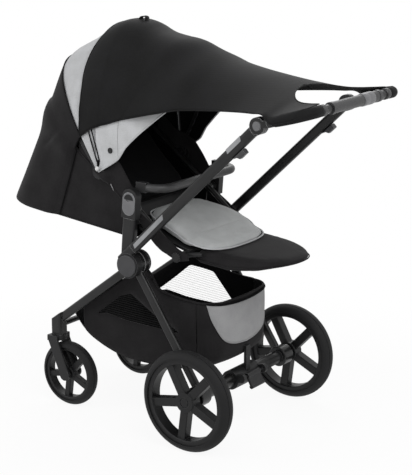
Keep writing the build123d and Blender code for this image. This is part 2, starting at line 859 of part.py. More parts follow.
def backrest_point(along, above=0.0):
    c, s = heading(90 - backrest_angle)
    y = recline_y + along * backrest_dir[0] + above * c
    z = recline_z + along * backrest_dir[1] + above * s
    return y, z


def backrest_plane(along, above):
    return up_plane(*backrest_point(along, above), -backrest_angle)


def backrest_board():
    start = recline_rod_radius
    mid = start + backrest_length / 2
    plane = backrest_plane(mid, board_thickness / 2)
    board = extrude(plane * RectangleRounded(backrest_width, backrest_length, 3), amount=-board_thickness)
    half = backrest_width / 2
    board += disc(-half, backrest_width, recline_y, recline_z, backrest_eye)
    return board - disc(-half - 1, backrest_width + 2, recline_y, recline_z, recline_rod_radius + running_gap)


backrest_pad_start = 46.0
backrest_pad_length = backrest_length - backrest_pad_start


def backrest_pad():
    mid = backrest_pad_start + backrest_pad_length / 2
    plane = backrest_plane(mid, board_thickness / 2 + cloth_gap / 2)
    return cushion(plane, backrest_width - pad_inset, backrest_pad_length, pad_thickness)


def shoulder_strap():
    length = backrest_pad_length * 0.62
    mid = backrest_pad_start + backrest_pad_length * 0.5
    top = board_thickness / 2 + cloth_gap + pad_thickness
    plane = backrest_plane(mid, top) * Pos(strap_spread / 2, 0)
    return extrude(plane * RectangleRounded(strap_width, length, 4), amount=strap_thickness)


def buckle():
    top = pad_thickness + cloth_gap
    strap_mid = board_point(board_length * buckle_strap_place, top)
    plane = up_plane(*strap_mid, -board_slope)
    strap = extrude(plane * RectangleRounded(30, 70, 4), amount=strap_thickness)
    clip_mid = board_point(board_length * buckle_place, top + strap_thickness)
    clip_plane = up_plane(*clip_mid, -board_slope)
    clip = extrude(clip_plane * RectangleRounded(46, 52, 12), amount=14)
    return strap + fillet(clip.edges().group_by(Axis.Z)[-1], 3)


save("backrest_board", backrest_board())
save("backrest_pad", backrest_pad())
save("shoulder_straps", both(shoulder_strap()))
save("harness_buckle", buckle())


# Leg rest: a padded tongue with two ears on the leg rest pivots, and the grey front pad on it
leg_rest_y = ahead(leg_rest_ahead)


def leg_rest_plane(along, above):
    c, s = heading(-leg_rest_slope)
    return up_plane(leg_rest_y + along * c - above * s, leg_rest_top + along * s + above * c, -leg_rest_slope)


def tongue_outline(plane, inset):
    half = leg_rest_width / 2 - inset
    length = leg_rest_length - inset
    side_run = leg_rest_side
    bulge_x = half * 0.76
    bulge_y = side_run + (length - side_run) * 0.68
    return plane * make_face([
        Line((-half, inset), (half, inset)),
        Line((half, inset), (half, side_run)),
        ThreePointArc((half, side_run), (bulge_x, bulge_y), (0, length)),
        ThreePointArc((0, length), (-bulge_x, bulge_y), (-half, side_run)),
        Line((-half, side_run), (-half, inset)),
    ])


def leg_rest():
    steps = [(0.0, leg_rest_round), (0.22, 0.0), (0.78, 0.0), (1.0, leg_rest_round)]
    sections = [tongue_outline(leg_rest_plane(0, -leg_rest_thickness * s), inset) for s, inset in steps]
    tongue = loft(sections, ruled=True)
    eye_x = board_width / 2 - 10
    width = 9.0
    ear = disc(eye_x, width, leg_pivot_y, leg_pivot_z, leg_eye_radius)
    root = (eye_x + width / 2 - 12, leg_rest_y + 22, leg_rest_top - leg_rest_thickness * 0.6)
    ear += bar((eye_x + width / 2, leg_pivot_y, leg_pivot_z), (eye_x + width / 2, root[1], root[2]), width, 12, 3)
    ear -= disc(eye_x - 1, width + 2, leg_pivot_y, leg_pivot_z, leg_pin_radius + running_gap)
    bridge = block(leg_rest_width / 2 - 14, eye_x + width - leg_rest_width / 2 + 14, leg_rest_y + 6, 22,
                   leg_rest_top - leg_rest_thickness + 2, 18)
    return tongue + both(ear + bridge)


def leg_pad():
    plane = leg_rest_plane(leg_pad_length / 2 + 6, cloth_gap / 2)
    return cushion(plane, leg_rest_width - pad_inset, leg_pad_length, leg_pad_thickness)


save("leg_rest", leg_rest())
save("leg_rest_pad", leg_pad())


# Bumper bar: swings open like a gate on a pin at the right socket, and plugs into the left one
socket_y = ahead(bumper_socket_ahead)
bumper_y = ahead(bumper_ahead)
socket_low = bumper_height - socket_height / 2
socket_x = adaptor_x - socket_width


def plug_socket():
    body = block(socket_x, socket_width, socket_y - socket_depth / 2, socket_depth, socket_low, socket_height)
    hole = Plane(origin=(bumper_x, socket_y + socket_depth / 2, bumper_height), z_dir=(0, -1, 0))
    return body - extrude(hole * Circle(plug_radius + plug_gap), amount=plug_length + 2)


def gate_socket():
    body = block(-socket_x - socket_width, socket_width, socket_y - socket_depth / 2, socket_depth, socket_low,
                 socket_height)
    slot = gate_tongue + 2 * side_gap
    body -= block(-socket_x - socket_width - 1, socket_width + 2, socket_y - gate_eye_radius - 2, socket_depth,
                  bumper_height - slot / 2, slot)
    return body + Pos(-bumper_x, socket_y, bumper_height) * Cylinder(gate_pin_radius, socket_height)


def bumper_bar():
    start_y = socket_y + math.hypot(socket_depth, socket_width) / 2 + side_gap
    left = (bumper_x, start_y, bumper_height)
    right = (-bumper_x, start_y, bumper_height)
    corners = [(bumper_x, bumper_y, bumper_height), (-bumper_x, bumper_y, bumper_height)]
    body = rod([left, *corners, right], bumper_radius, bumper_bend)
    plug = Plane(origin=(bumper_x, start_y + 2, bumper_height), z_dir=(0, -1, 0))
    body += extrude(plug * Circle(plug_radius), amount=plug_length + 2)
    tongue = Pos(-bumper_x, (socket_y + start_y) / 2 + 1, bumper_height)
    body += tongue * Box(2 * gate_eye_radius, start_y - socket_y + 2, gate_tongue)
    body += Pos(-bumper_x, socket_y, bumper_height) * Cylinder(gate_eye_radius, gate_tongue)
    return body - Pos(-bumper_x, socket_y, bumper_height) * Cylinder(gate_pin_radius + running_gap, socket_height)


save("bumper_sockets", plug_socket() + gate_socket())
save("bumper_bar", bumper_bar())


# Arches: a half outline of powers of sine and cosine, thick cloth between an outer and an inner arch
def arch_points(half_width, height, power, foot):
    def point(turn):
        c, s = heading(turn)
        return half_width * c ** power, height * s ** power

    first = math.degrees(math.asin((foot / height) ** (1 / power)))
    return [point(t) for t in (first, (first + 34) / 2, 34, 48, 62)] + [(0, height)]


def band(outer, inner):
    edges = []
    for points in (outer, inner):
        far = [(-x, v) for x, v in points]
        edges.append(ThreePointArc(*points[0:3]))
        edges.append(ThreePointArc(*points[2:5]))
        edges.append(ThreePointArc(points[4], points[5], far[4]))
        edges.append(ThreePointArc(*far[2:5]))
        edges.append(ThreePointArc(*far[0:3]))
    edges.append(Line(outer[0], inner[0]))
    edges.append(Line((-outer[0][0], outer[0][1]), (-inner[0][0], inner[0][1])))
    return make_face(edges)


def hood_plane(angle):
    c, s = heading(angle)
    return Plane(origin=(0, hood_y, hood_z), x_dir=(1, 0, 0), z_dir=(0, -s, c))


def arch_band(angle, half_width, height, power, foot, thickness):
    outer = arch_points(half_width, height, power, foot)
    inner = arch_points(half_width - thickness, height - thickness, power, foot)
    return hood_plane(angle) * band(outer, inner)


def hood_fabric(arches):
    sections = []
    for angle, wide, high, power in arches:
        size = (hood_half_width * wide, hood_height * high, power)
        sections.append(arch_band(angle, *size, hood_foot, hood_cloth))
    return loft(sections, ruled=True)


def arch_at(angle):
    arches = sorted(hood_rear_arches + hood_front_arches)
    for low, high in zip(arches, arches[1:]):
        if low[0] <= angle <= high[0]:
            share = (angle - low[0]) / (high[0] - low[0])
            wide, tall, power = [a + share * (b - a) for a, b in zip(low[1:], high[1:])]
            return hood_half_width * wide, hood_height * tall, power


bow_x = adaptor_x - bow_thickness + 2.0
plate_x = bow_x + bow_thickness + 0.4


def hood_bow(angle, x, foot):
    width, height, power = arch_at(angle)
    inset = hood_cloth + bow_gap
    outer_x = x + bow_thickness
    outer = arch_points(outer_x, height - inset, power, foot)
    inner = arch_points(outer_x - bow_thickness, height - inset - bow_thickness, power, foot)
    face = hood_plane(angle).offset(-bow_width / 2) * band(outer, inner)
    return extrude(face, amount=bow_width)


def front_bow():
    eye = ring(bow_x, bow_thickness, hood_y, hood_z, bow_eye_radius, hood_pin_radius + running_gap)
    return hood_bow(bow_front_angle, bow_x, bow_eye_radius - 2) + both(eye)


def hood_hinge():
    plate = disc(plate_x, hood_plate_thickness, hood_y, hood_z, hood_plate_radius)
    tube_side = seat_tube_x + seat_tube_radius + seat_gap
    return plate + disc(tube_side, plate_x - tube_side, hood_y, hood_z, hood_pin_radius)


save("hood_rear_fabric", hood_fabric(hood_rear_arches))
save("hood_front_fabric", hood_fabric(hood_front_arches))
save("hood_rear_bow", hood_bow(bow_rear_angle, plate_x, hood_plate_radius + seat_gap))
save("hood_mid_bow", hood_bow(bow_mid_angle, plate_x, hood_plate_radius + seat_gap))
save("hood_front_bow", front_bow())
save("hood_hinges", both(hood_hinge()))


# Sun sail: over the hood from the rear edge to the front bow, then stretched to the handle
def edge_foot(angle):
    rise = math.tan(math.radians(sail_edge_slope))
    c, s = heading(angle)
    return (sail_edge_height - hood_z) / (s - rise * c)


def sail_arch(angle):
    width, height, power = arch_at(angle)
    grow = sail_cloth + sail_gap
    return arch_band(angle, width + grow, height + grow, power, edge_foot(angle), sail_cloth)


def flat_points(half_width, rise, drop):
    shares = (1.0, 0.9, 0.78, 0.64, 0.48, 0.0)
    return [(half_width * u, rise * (1 - u * u) - drop) for u in shares]


def sail_section(y, half_width, edge_height, rise):
    plane = Plane(origin=(0, y, edge_height), x_dir=(1, 0, 0), z_dir=(0, -1, 0))
    return plane * band(flat_points(half_width, rise, 0), flat_points(half_width, rise, sail_cloth))


def sun_sail():
    over_bar = bar_z + collar_radius + cloth_gap + sail_cloth
    sections = [sail_arch(a) for a in (sail_rear_angle, 92.0, 76.0, bow_front_angle)]
    for way, wide, up, rise in sail_stations:
        y = hood_y + way * (bar_y - hood_y)
        z = hood_z + up * (bar_z - hood_z)
        sections.append(sail_section(y, sail_end_width * wide, z, hood_height * rise))
    sections.append(sail_section(bar_y + bar_overlap, sail_end_width, over_bar, sail_end_rise))
    sail = loft(sections, ruled=True)
    low = Plane(origin=(0, bar_y, over_bar - grip_opening_cut))
    opening = low * Ellipse(grip_opening_width / 2, grip_opening_depth)
    return sail - extrude(opening, amount=2 * grip_opening_cut)


save("sun_sail", sun_sail())


# Shopping basket: a cloth trough under the seat, bowed at the rear, with a grey pocket on its rear wall
basket_rear_y = ahead(basket_rear_top[0])
rear_radius = (basket_half_width ** 2 + basket_rear_bow ** 2) / (2 * basket_rear_bow)


def basket_outline(wall):
    low = [basket_nose, basket_front_low, basket_bottom_front, basket_bottom_rear, basket_rear_low]
    low = [(ahead(a), z) for a, z in low]
    rear_top = (basket_rear_y, basket_rear_top[1])
    edge = [(ahead(a), z) for a, z in (basket_side_dip, basket_side_fall, basket_side_top)]
    if wall == 0:
        return make_face([Spline(*low), Polyline(low[-1], rear_top, *edge, low[0])])
    shifts = [(2, 1), (1, 1), (0, 1), (0, 1), (-1, 1)]
    inner = [(y + a * wall, z + b * wall) for (y, z), (a, b) in zip(low, shifts)]
    above = edge[-1][1] + basket_wall * 10
    return make_face([Spline(*inner), Polyline(inner[-1], (rear_top[0] - wall, rear_top[1]),
                                               (rear_top[0] - wall, above), (inner[0][0], above), inner[0])])


# Round the upright axis of the bowed rear wall
def rear_cylinder(grow):
    height = 2 * basket_side_top[1]
    return Pos(0, basket_rear_y - rear_radius, height / 2) * Cylinder(rear_radius + grow, height)


def basket_hanger():
    outside = hub_inner_x - seat_gap
    inside = outside - basket_wall
    half = basket_half_width
    low = half - basket_wall
    hanger_low = basket_side_top[1] - hanger_overlap
    hanger_high = hub_height + hanger_reach
    turn = (hanger_low + hanger_high) / 2 + 8
    strip = Polyline((low, hanger_low), (half, hanger_low), (half, hanger_low + 12), (outside, turn),
                     (outside, hanger_high), (inside, hanger_high), (inside, turn + 1), (low, hanger_low + 13),
                     close=True)
    plane = Plane(origin=(0, hub_y + hanger_width / 2, 0), x_dir=(1, 0, 0), z_dir=(0, -1, 0))
    return extrude(plane * make_face(strip), amount=hanger_width)


def basket():
    half = basket_half_width
    outer = extrude(side(-half) * basket_outline(0), amount=2 * half) & rear_cylinder(0)
    inner = extrude(side(basket_wall - half) * basket_outline(basket_wall), amount=2 * (half - basket_wall))
    return outer - (inner & rear_cylinder(-basket_wall)) + both(basket_hanger())


def basket_pocket():
    tall = pocket_top - pocket_low
    half = [(pocket_half_width * a, pocket_low + tall * b) for a, b in pocket_curve]
    near = (pocket_half_width, pocket_top)
    far = (-pocket_half_width, pocket_top)
    sack = [near, *half, (0, pocket_low), *[(-x, z) for x, z in reversed(half)], far]
    mouth = ThreePointArc(far, (0, pocket_top - pocket_dip), near)
    plane = Plane(origin=(0, basket_rear_y + pocket_thickness * 4, 0), x_dir=(1, 0, 0), z_dir=(0, -1, 0))
    body = extrude(plane * make_face([Spline(*sack), mouth]), amount=basket_rear_bow * 4)
    return (body & rear_cylinder(seat_gap + pocket_thickness)) - rear_cylinder(seat_gap)


save("basket", basket())
save("basket_pocket", basket_pocket())
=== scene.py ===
import bpy
import bmesh
import json
import math
import numpy as np
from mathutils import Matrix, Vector

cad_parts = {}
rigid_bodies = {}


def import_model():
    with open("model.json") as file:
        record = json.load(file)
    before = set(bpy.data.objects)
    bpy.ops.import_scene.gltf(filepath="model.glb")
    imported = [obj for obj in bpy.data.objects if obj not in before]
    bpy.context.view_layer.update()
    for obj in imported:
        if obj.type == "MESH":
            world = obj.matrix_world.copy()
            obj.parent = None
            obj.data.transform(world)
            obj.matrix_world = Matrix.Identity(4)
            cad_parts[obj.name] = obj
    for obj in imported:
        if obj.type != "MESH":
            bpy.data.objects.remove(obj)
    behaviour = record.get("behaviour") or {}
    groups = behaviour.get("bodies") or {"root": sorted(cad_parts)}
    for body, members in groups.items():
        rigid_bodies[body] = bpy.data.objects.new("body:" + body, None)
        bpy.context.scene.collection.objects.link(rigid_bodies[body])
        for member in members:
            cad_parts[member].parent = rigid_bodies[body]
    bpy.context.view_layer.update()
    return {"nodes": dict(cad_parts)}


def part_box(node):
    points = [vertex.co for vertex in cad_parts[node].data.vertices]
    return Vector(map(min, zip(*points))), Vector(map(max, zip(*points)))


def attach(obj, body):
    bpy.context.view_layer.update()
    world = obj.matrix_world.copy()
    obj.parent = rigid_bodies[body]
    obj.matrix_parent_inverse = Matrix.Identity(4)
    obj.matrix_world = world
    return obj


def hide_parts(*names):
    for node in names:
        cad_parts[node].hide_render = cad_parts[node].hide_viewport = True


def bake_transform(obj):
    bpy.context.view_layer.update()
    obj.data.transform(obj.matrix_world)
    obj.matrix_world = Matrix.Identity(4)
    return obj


# Baby stroller, dressed over its CAD frame. Sizes below are millimetres in the CAD frame.
for thing in list(bpy.data.objects):
    bpy.data.objects.remove(thing)
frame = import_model()
scene = bpy.context.scene
print("frame loaded")

# camera, from the photograph's viewing angle
view = {"azimuth": 124.94, "elevation": 14.36, "distance": 4310.0, "target": (0.0, 58.3, 535.1), "focalPixels": 1501.3,
        # long side of the frame in pixels, and the sensor width it is set against
        "longSide": 475, "sensor": 36.0, "farClip": 50}
bothSides = ((1, "Left"), (-1, "Right"))


def mm(*values):
    return tuple(v / 1000 for v in values)


def headingOf(degrees):
    return math.cos(math.radians(degrees)), math.sin(math.radians(degrees))


def placeCamera():
    cosAz, sinAz = headingOf(view["azimuth"])
    cosEl, sinEl = headingOf(view["elevation"])
    away = Vector((sinAz * cosEl, -cosAz * cosEl, sinEl))
    target = Vector(mm(*view["target"]))
    lens = bpy.data.cameras.new("photoCamera")
    lens.sensor_width = view["sensor"]
    lens.lens = view["focalPixels"] / view["longSide"] * view["sensor"]
    lens.clip_end = view["farClip"]
    holder = bpy.data.objects.new("photoCamera", lens)
    holder.location = target + away * view["distance"] / 1000
    holder.rotation_euler = (-away).to_track_quat("-Z", "Y").to_euler()
    scene.collection.objects.link(holder)
    scene.camera = holder


placeCamera()


# colours and finishes
def srgb(code):
    parts = [int(code[i:i + 2], 16) / 255 for i in (1, 3, 5)]
    return tuple(p / 12.92 if p <= 0.04045 else ((p + 0.055) / 1.055) ** 2.4 for p in parts) + (1.0,)


def addNode(tree, kind, settings=None, links=None):
    node = tree.nodes.new(kind)
    for key, value in (settings or {}).items():
        if isinstance(key, str) and hasattr(node, key):
            setattr(node, key, value)
        else:
            node.inputs[key].default_value = value
    for key, source in (links or {}).items():
        tree.links.new(source, node.inputs[key])
    return node


def newMaterial(name, settings):
    material = bpy.data.materials.new(name)
    material.use_nodes = True
    tree = material.node_tree
    tree.nodes.clear()
    shader = addNode(tree, "ShaderNodeBsdfPrincipled", settings)
    addNode(tree, "ShaderNodeOutputMaterial", None, {"Surface": shader.outputs[0]})
    place = addNode(tree, "ShaderNodeTexCoord").outputs["Object"]
    return material, tree, shader, place


def rampOf(tree, factor, low, high, start=0.35, end=0.65):
    ramp = addNode(tree, "ShaderNodeValToRGB", None, {"Fac": factor})
    ramp.color_ramp.elements[0].position = start
    ramp.color_ramp.elements[0].color = srgb(low)
    ramp.color_ramp.elements[1].position = end
    ramp.color_ramp.elements[1].color = srgb(high)
    return ramp.outputs["Color"]


# Hard finishes: a mottled base colour, a grain in the bump, and a painted highlight that lightens the edges, broken up
# by noise
hardFinishes = {
    # powder-coated aluminium tube, baked on: satin, with a fine orange peel and pale edges, a painted highlight
    "powderCoatAluminium": {"low": "#191919", "high": "#202021", "edge": "#b4b4b5", "rough": 0.3, "grainMm": 1.6,
                            "bump": 0.08, "edgeMm": 2.4, "ior": 1.5},
    # glass-filled nylon moulding: matt, slightly speckled, softly lit edges
    "mouldedNylon": {"low": "#161617", "high": "#1c1c1d", "edge": "#6a6a6c", "rough": 0.52, "grainMm": 0.9,
                     "bump": 0.16, "edgeMm": 1.0, "ior": 1.53},
    # satin polyamide of the hub caps, handle joints and fold tabs, a shade lighter
    "satinPolyamide": {"low": "#38383a", "high": "#414143", "edge": "#8a8a8d", "rough": 0.40, "grainMm": 0.8,
                       "bump": 0.08, "edgeMm": 1.2, "ior": 1.53},
    # grey lacquered ABS of the buttons and the grip's clip
    "greyAbs": {"low": "#6a6a6c", "high": "#747476", "edge": "#a2a2a4", "rough": 0.36, "grainMm": 0.7,
                "bump": 0.06, "edgeMm": 0.9, "ior": 1.54},
    # closed-cell EVA foam tyre: dull, finely pitted
    "evaFoam": {"low": "#101011", "high": "#151516", "edge": "#2a2a2b", "rough": 0.68, "grainMm": 1.3,
                "bump": 0.30, "edgeMm": 1.6, "ior": 1.5},
    # glass-filled polypropylene of the rims and finger scoops: darker than the tyre's tread, even grain
    "rimPolypropylene": {"low": "#0d0d0e", "high": "#131314", "edge": "#4a4a4c", "rough": 0.47, "grainMm": 1.0,
                         "bump": 0.14, "edgeMm": 1.2, "ior": 1.5},
    # white acetal of the zip pulls: clean, waxy gloss
    "whiteAcetal": {"low": "#dcdcdc", "high": "#e6e6e6", "edge": "#f2f2f2", "rough": 0.34, "grainMm": 0.6,
                    "bump": 0.03, "edgeMm": 0.4, "ior": 1.48},
    # satin anodised aluminium of the tube strips and the release buttons' rims: soft metal sheen
    "satinAnodised": {"low": "#8b8c8e", "high": "#9a9b9d", "edge": "#c9cacb", "rough": 0.42, "grainMm": 0.5,
                      "bump": 0.05, "edgeMm": 0.3, "ior": 1.5, "metal": 0.6},
}


# shared by the hard finishes: noise scales per metre, where an edge gets the painted highlight and how strongly, depth
# of the grain in metres, and how far the gloss varies
hardLook = {"specular": 0.3, "mottle": 18.0, "glintBreakup": 90.0, "glintFrom": 0.985, "glintFull": 0.9, "glintGain": 1.7,
            "grainDeep": 0.0004, "glossier": 0.06, "duller": 0.08, "bevelSamples": 6}


def hardMaterial(name):
    spec = hardFinishes[name]
    settings = {"Roughness": spec["rough"], "Metallic": spec.get("metal", 0.0),
                "Specular IOR Level": hardLook["specular"]}
    if "metal" not in spec:
        settings["IOR"] = spec["ior"]
    material, tree, shader, place = newMaterial(name, settings)
    cloud = addNode(tree, "ShaderNodeTexNoise", {"Scale": hardLook["mottle"], "Detail": 3.0}, {"Vector": place})
    base = rampOf(tree, cloud.outputs["Fac"], spec["low"], spec["high"])
    # painted highlight: edges, found where the bevelled normal turns from the flat one, are mixed towards the finish's
    # edge colour, broken up by noise
    soft = addNode(tree, "ShaderNodeBevel", {"samples": hardLook["bevelSamples"], "Radius": spec["edgeMm"] / 1000})
    flat = addNode(tree, "ShaderNodeNewGeometry")
    turn = addNode(tree, "ShaderNodeVectorMath", {"operation": "DOT_PRODUCT"},
                   {0: soft.outputs["Normal"], 1: flat.outputs["Normal"]})
    edge = addNode(tree, "ShaderNodeMapRange",
                   {"From Min": hardLook["glintFrom"], "From Max": hardLook["glintFull"], "To Max": hardLook["glintGain"]},
                   {"Value": turn.outputs["Value"]})
    glintBreakup = addNode(tree, "ShaderNodeTexNoise", {"Scale": hardLook["glintBreakup"], "Detail": 2.0}, {"Vector": place})
    paintedGlint = addNode(tree, "ShaderNodeMath", {"operation": "MULTIPLY", "use_clamp": True},
                   {0: edge.outputs["Result"], 1: glintBreakup.outputs["Fac"]})
    tint = addNode(tree, "ShaderNodeMix", {"data_type": "RGBA", 7: srgb(spec["edge"])},
                   {"Factor": paintedGlint.outputs["Value"], 6: base})
    grain = addNode(tree, "ShaderNodeTexNoise", {"Scale": 1000 / spec["grainMm"], "Detail": 2.0}, {"Vector": place})
    bump = addNode(tree, "ShaderNodeBump", {"Strength": spec["bump"], "Distance": hardLook["grainDeep"]},
                   {"Height": grain.outputs["Fac"], "Normal": soft.outputs["Normal"]})
    tree.links.new(tint.outputs[2], shader.inputs["Base Color"])
    tree.links.new(bump.outputs["Normal"], shader.inputs["Normal"])
    gloss = addNode(tree, "ShaderNodeMapRange",
                    {"To Min": spec["rough"] - hardLook["glossier"], "To Max": spec["rough"] + hardLook["duller"]},
                    {"Value": cloud.outputs["Fac"]})
    tree.links.new(gloss.outputs["Result"], shader.inputs["Roughness"])
    return material


# Cloths: two yarn colours, a weave in the bump, sheen from the fibre ends.
# Real threads are 0.3 to 0.5 mm apart; they are drawn 2 to 3 mm apart so that the weave shows at all.
cloths = {
    # woven polyester shell cloth of tub, head cover and basket
    "wovenPolyesterBlack": {"low": "#1f1e1f", "high": "#262526", "threadMm": 2.2, "bump": 0.35, "sheen": 0.07,
                            "rough": 0.82, "patchMm": 60, "fleckMm": 5},
    # near-black lining of the seat and the other insides, darker than the shell: painted shade, out of the light; also
    # zips, straps and bindings
    "wovenPolyesterLining": {"low": "#080809", "high": "#0d0d0e", "threadMm": 2.2, "bump": 0.3, "sheen": 0.02,
                             "rough": 0.85, "patchMm": 60, "fleckMm": 5},
    # melange polyester of the hood and the pad's piping, pale and dark grey yarns together
    "melangePolyesterPale": {"low": "#babbbc", "high": "#c7c8ca", "threadMm": 2.4, "bump": 0.3, "sheen": 0.15,
                             "rough": 0.85, "patchMm": 40, "fleckMm": 3.2},
    # melange polyester of the seat pad, a little darker
    "melangePolyesterGrey": {"low": "#b6b8b8", "high": "#c2c4c4", "threadMm": 2.4, "bump": 0.3, "sheen": 0.15,
                             "rough": 0.85, "patchMm": 45, "fleckMm": 3.2},
    # melange polyester of the basket's pocket, also sewn seams and bar tacks
    "melangePolyesterPocket": {"low": "#959596", "high": "#9f9fa0", "threadMm": 2.4, "bump": 0.3, "sheen": 0.12,
                               "rough": 0.85, "patchMm": 45, "fleckMm": 3.2},
    # elastane jersey of the sun sail, stretched smooth
    "elastaneJersey": {"low": "#191919", "high": "#1f1f20", "threadMm": 2.0, "bump": 0.18, "sheen": 0.03,
                       "rough": 0.7, "patchMm": 120, "fleckMm": 6},
}


# shared by the cloths: shares of the flecks in colour and in fuzz, where the two yarn colours start and end, wave bands
# per thread and how they wander, depth of the weave in metres
clothLook = {"sheenRough": 0.45, "ior": 1.45, "specular": 0.1, "fleckShare": 0.65, "yarnFrom": 0.62, "yarnTo": 1.02,
             "bands": 0.32, "wander": 0.6, "fuzzShare": 0.6, "weaveDeep": 0.0006}


def clothMaterial(name):
    spec = cloths[name]
    settings = {"Roughness": spec["rough"], "Sheen Weight": spec["sheen"], "Sheen Roughness": clothLook["sheenRough"],
                "IOR": clothLook["ior"], "Specular IOR Level": clothLook["specular"]}
    material, tree, shader, place = newMaterial(name, settings)
    patch = addNode(tree, "ShaderNodeTexNoise", {"Scale": 1000 / spec["patchMm"], "Detail": 3.0}, {"Vector": place})
    fleck = addNode(tree, "ShaderNodeTexNoise", {"Scale": 1000 / spec["fleckMm"], "Detail": 4.0, "Roughness": 0.7},
                    {"Vector": place})
    mixed = addNode(tree, "ShaderNodeMath", {"operation": "MULTIPLY_ADD", 1: clothLook["fleckShare"]},
                    {0: fleck.outputs["Fac"], 2: patch.outputs["Fac"]})
    yarn = rampOf(tree, mixed.outputs["Value"], spec["low"], spec["high"], clothLook["yarnFrom"], clothLook["yarnTo"])
    tree.links.new(yarn, shader.inputs["Base Color"])
    threads = 1000 / spec["threadMm"] * 0.5
    waves = {"Scale": threads * clothLook["bands"], "Distortion": clothLook["wander"]}
    warp = addNode(tree, "ShaderNodeTexWave", {"bands_direction": "Y", **waves}, {"Vector": place})
    weft = addNode(tree, "ShaderNodeTexWave", {"bands_direction": "Z", **waves}, {"Vector": place})
    weave = addNode(tree, "ShaderNodeMath", {"operation": "MULTIPLY"}, {0: warp.outputs["Fac"], 1: weft.outputs["Fac"]})
    fuzz = addNode(tree, "ShaderNodeMath", {"operation": "MULTIPLY_ADD", 1: clothLook["fuzzShare"]},
                   {0: fleck.outputs["Fac"], 2: weave.outputs["Value"]})
    bump = addNode(tree, "ShaderNodeBump", {"Strength": spec["bump"], "Distance": clothLook["weaveDeep"]},
                   {"Height": fuzz.outputs["Value"]})
    tree.links.new(bump.outputs["Normal"], shader.inputs["Normal"])
    return material


# grained leatherette of the grip and the bumper bar: cells of 2.5 mm with darker valleys
leather = {"low": "#232324", "high": "#373738", "cellMm": 2.5, "rough": 0.46, "bump": 0.5}


def leatherMaterial():
    material, tree, shader, place = newMaterial("grainedLeatherette", {"Roughness": leather["rough"], "IOR": 1.5})
    cell = addNode(tree, "ShaderNodeTexVoronoi", {"feature": "SMOOTH_F1", "Scale": 1000 / leather["cellMm"]},
                   {"Vector": place})
    tree.links.new(rampOf(tree, cell.outputs["Distance"], leather["high"], leather["low"], 0.2, 0.9),
                   shader.inputs["Base Color"])
    bump = addNode(tree, "ShaderNodeBump", {"Strength": leather["bump"], "Distance": 0.0005, "invert": True},
                   {"Height": cell.outputs["Distance"]})
    tree.links.new(bump.outputs["Normal"], shader.inputs["Normal"])
    return material


# knitted polyester net: dark round yarn, a little uneven along its length
net = {"low": "#141415", "high": "#1f1f20", "unevenMm": 4.0}


def netMaterial():
    material, tree, shader, place = newMaterial("knittedNet", {"Roughness": 0.8, "Sheen Weight": 0.1})
    uneven = addNode(tree, "ShaderNodeTexNoise", {"Scale": 1000 / net["unevenMm"], "Detail": 2.0}, {"Vector": place})
    tree.links.new(rampOf(tree, uneven.outputs["Fac"], net["low"], net["high"]), shader.inputs["Base Color"])
    bump = addNode(tree, "ShaderNodeBump", {"Strength": 0.3, "Distance": 0.0003}, {"Height": uneven.outputs["Fac"]})
    tree.links.new(bump.outputs["Normal"], shader.inputs["Normal"])
    return material


finish = {name: hardMaterial(name) for name in hardFinishes}
finish.update({name: clothMaterial(name) for name in cloths})
finish["grainedLeatherette"] = leatherMaterial()
finish["knittedNet"] = netMaterial()
print("materials made:", len(finish))

# CAD nodes that stay, by finish
kept = {
    "powderCoatAluminium": ["push_tube_left", "push_tube_right", "front_leg_left", "front_leg_right", "rear_leg_left",
                            "rear_leg_right", "rear_axle", "front_cross_tube", "seat_frame", "handle_bar", "seat_posts",
                            "caster_barrels"],
    "mouldedNylon": ["fold_hub_left", "fold_hub_right", "hub_inner_discs", "caster_fork_left", "caster_fork_right",
                     "brake_housing", "brake_pedal", "seat_adaptors", "leg_rest_knobs", "seat_board", "backrest_board",
                     "bumper_sockets", "hood_rear_bow", "hood_mid_bow", "hood_front_bow", "hood_hinges"],
    "satinPolyamide": ["hub_caps", "handle_joints", "fold_tab_left", "fold_tab_right"],
    "greyAbs": ["seat_release_button_left", "seat_release_button_right", "handle_button_left", "handle_button_right"],
    "evaFoam": ["rear_tyre_left", "rear_tyre_right", "front_tyre_left", "front_tyre_right"],
    "rimPolypropylene": ["rear_rim_left", "rear_rim_right", "front_rim_left", "front_rim_right"],
    "grainedLeatherette": ["handle_grip", "grip_collars", "bumper_bar"],
    "wovenPolyesterLining": ["shoulder_straps"],
}
for finishName, nodeNames in kept.items():
    for nodeName in nodeNames:
        mesh = frame["nodes"][nodeName].data
        mesh.materials.clear()
        mesh.materials.append(finish[finishName])
print("CAD nodes painted")


# making pieces
def shadeSmooth(mesh):
    mesh.polygons.foreach_set("use_smooth", [True] * len(mesh.polygons))


def newPiece(name, points, faces, materials, smooth=True):
    mesh = bpy.data.meshes.new(name)
    mesh.from_pydata([tuple(float(c) / 1000 for c in p) for p in points], [], faces)
    mesh.update()
    piece = bpy.data.objects.new(name, mesh)
    scene.collection.objects.link(piece)
    for item in materials if isinstance(materials, list) else [materials]:
        mesh.materials.append(finish[item])
    if smooth:
        shadeSmooth(mesh)
    return piece


def gridFaces(rows, columns, start=0, closed=False):
    faces = []
    for r in range(rows - 1):
        for c in range(columns if closed else columns - 1):
            a = start + r * columns + c
            b = start + r * columns + (c + 1) % columns
            faces.append((a, b, b + columns, a + columns))
    return faces


def settle(piece):
    # modifiers become plain mesh
    graph = bpy.context.evaluated_depsgraph_get()
    mesh = bpy.data.meshes.new_from_object(piece.evaluated_get(graph))
    piece.modifiers.clear()
    piece.data = mesh
    return piece


def thicken(piece, thickness, offset=-1.0, lining=False):
    # with a lining, the inner side takes the piece's second finish, here always the near-black cloth that paints the
    # shade inside
    solid = piece.modifiers.new("cloth", "SOLIDIFY")
    solid.thickness = thickness / 1000
    solid.offset = offset
    solid.material_offset = 1 if lining else 0
    return settle(piece)


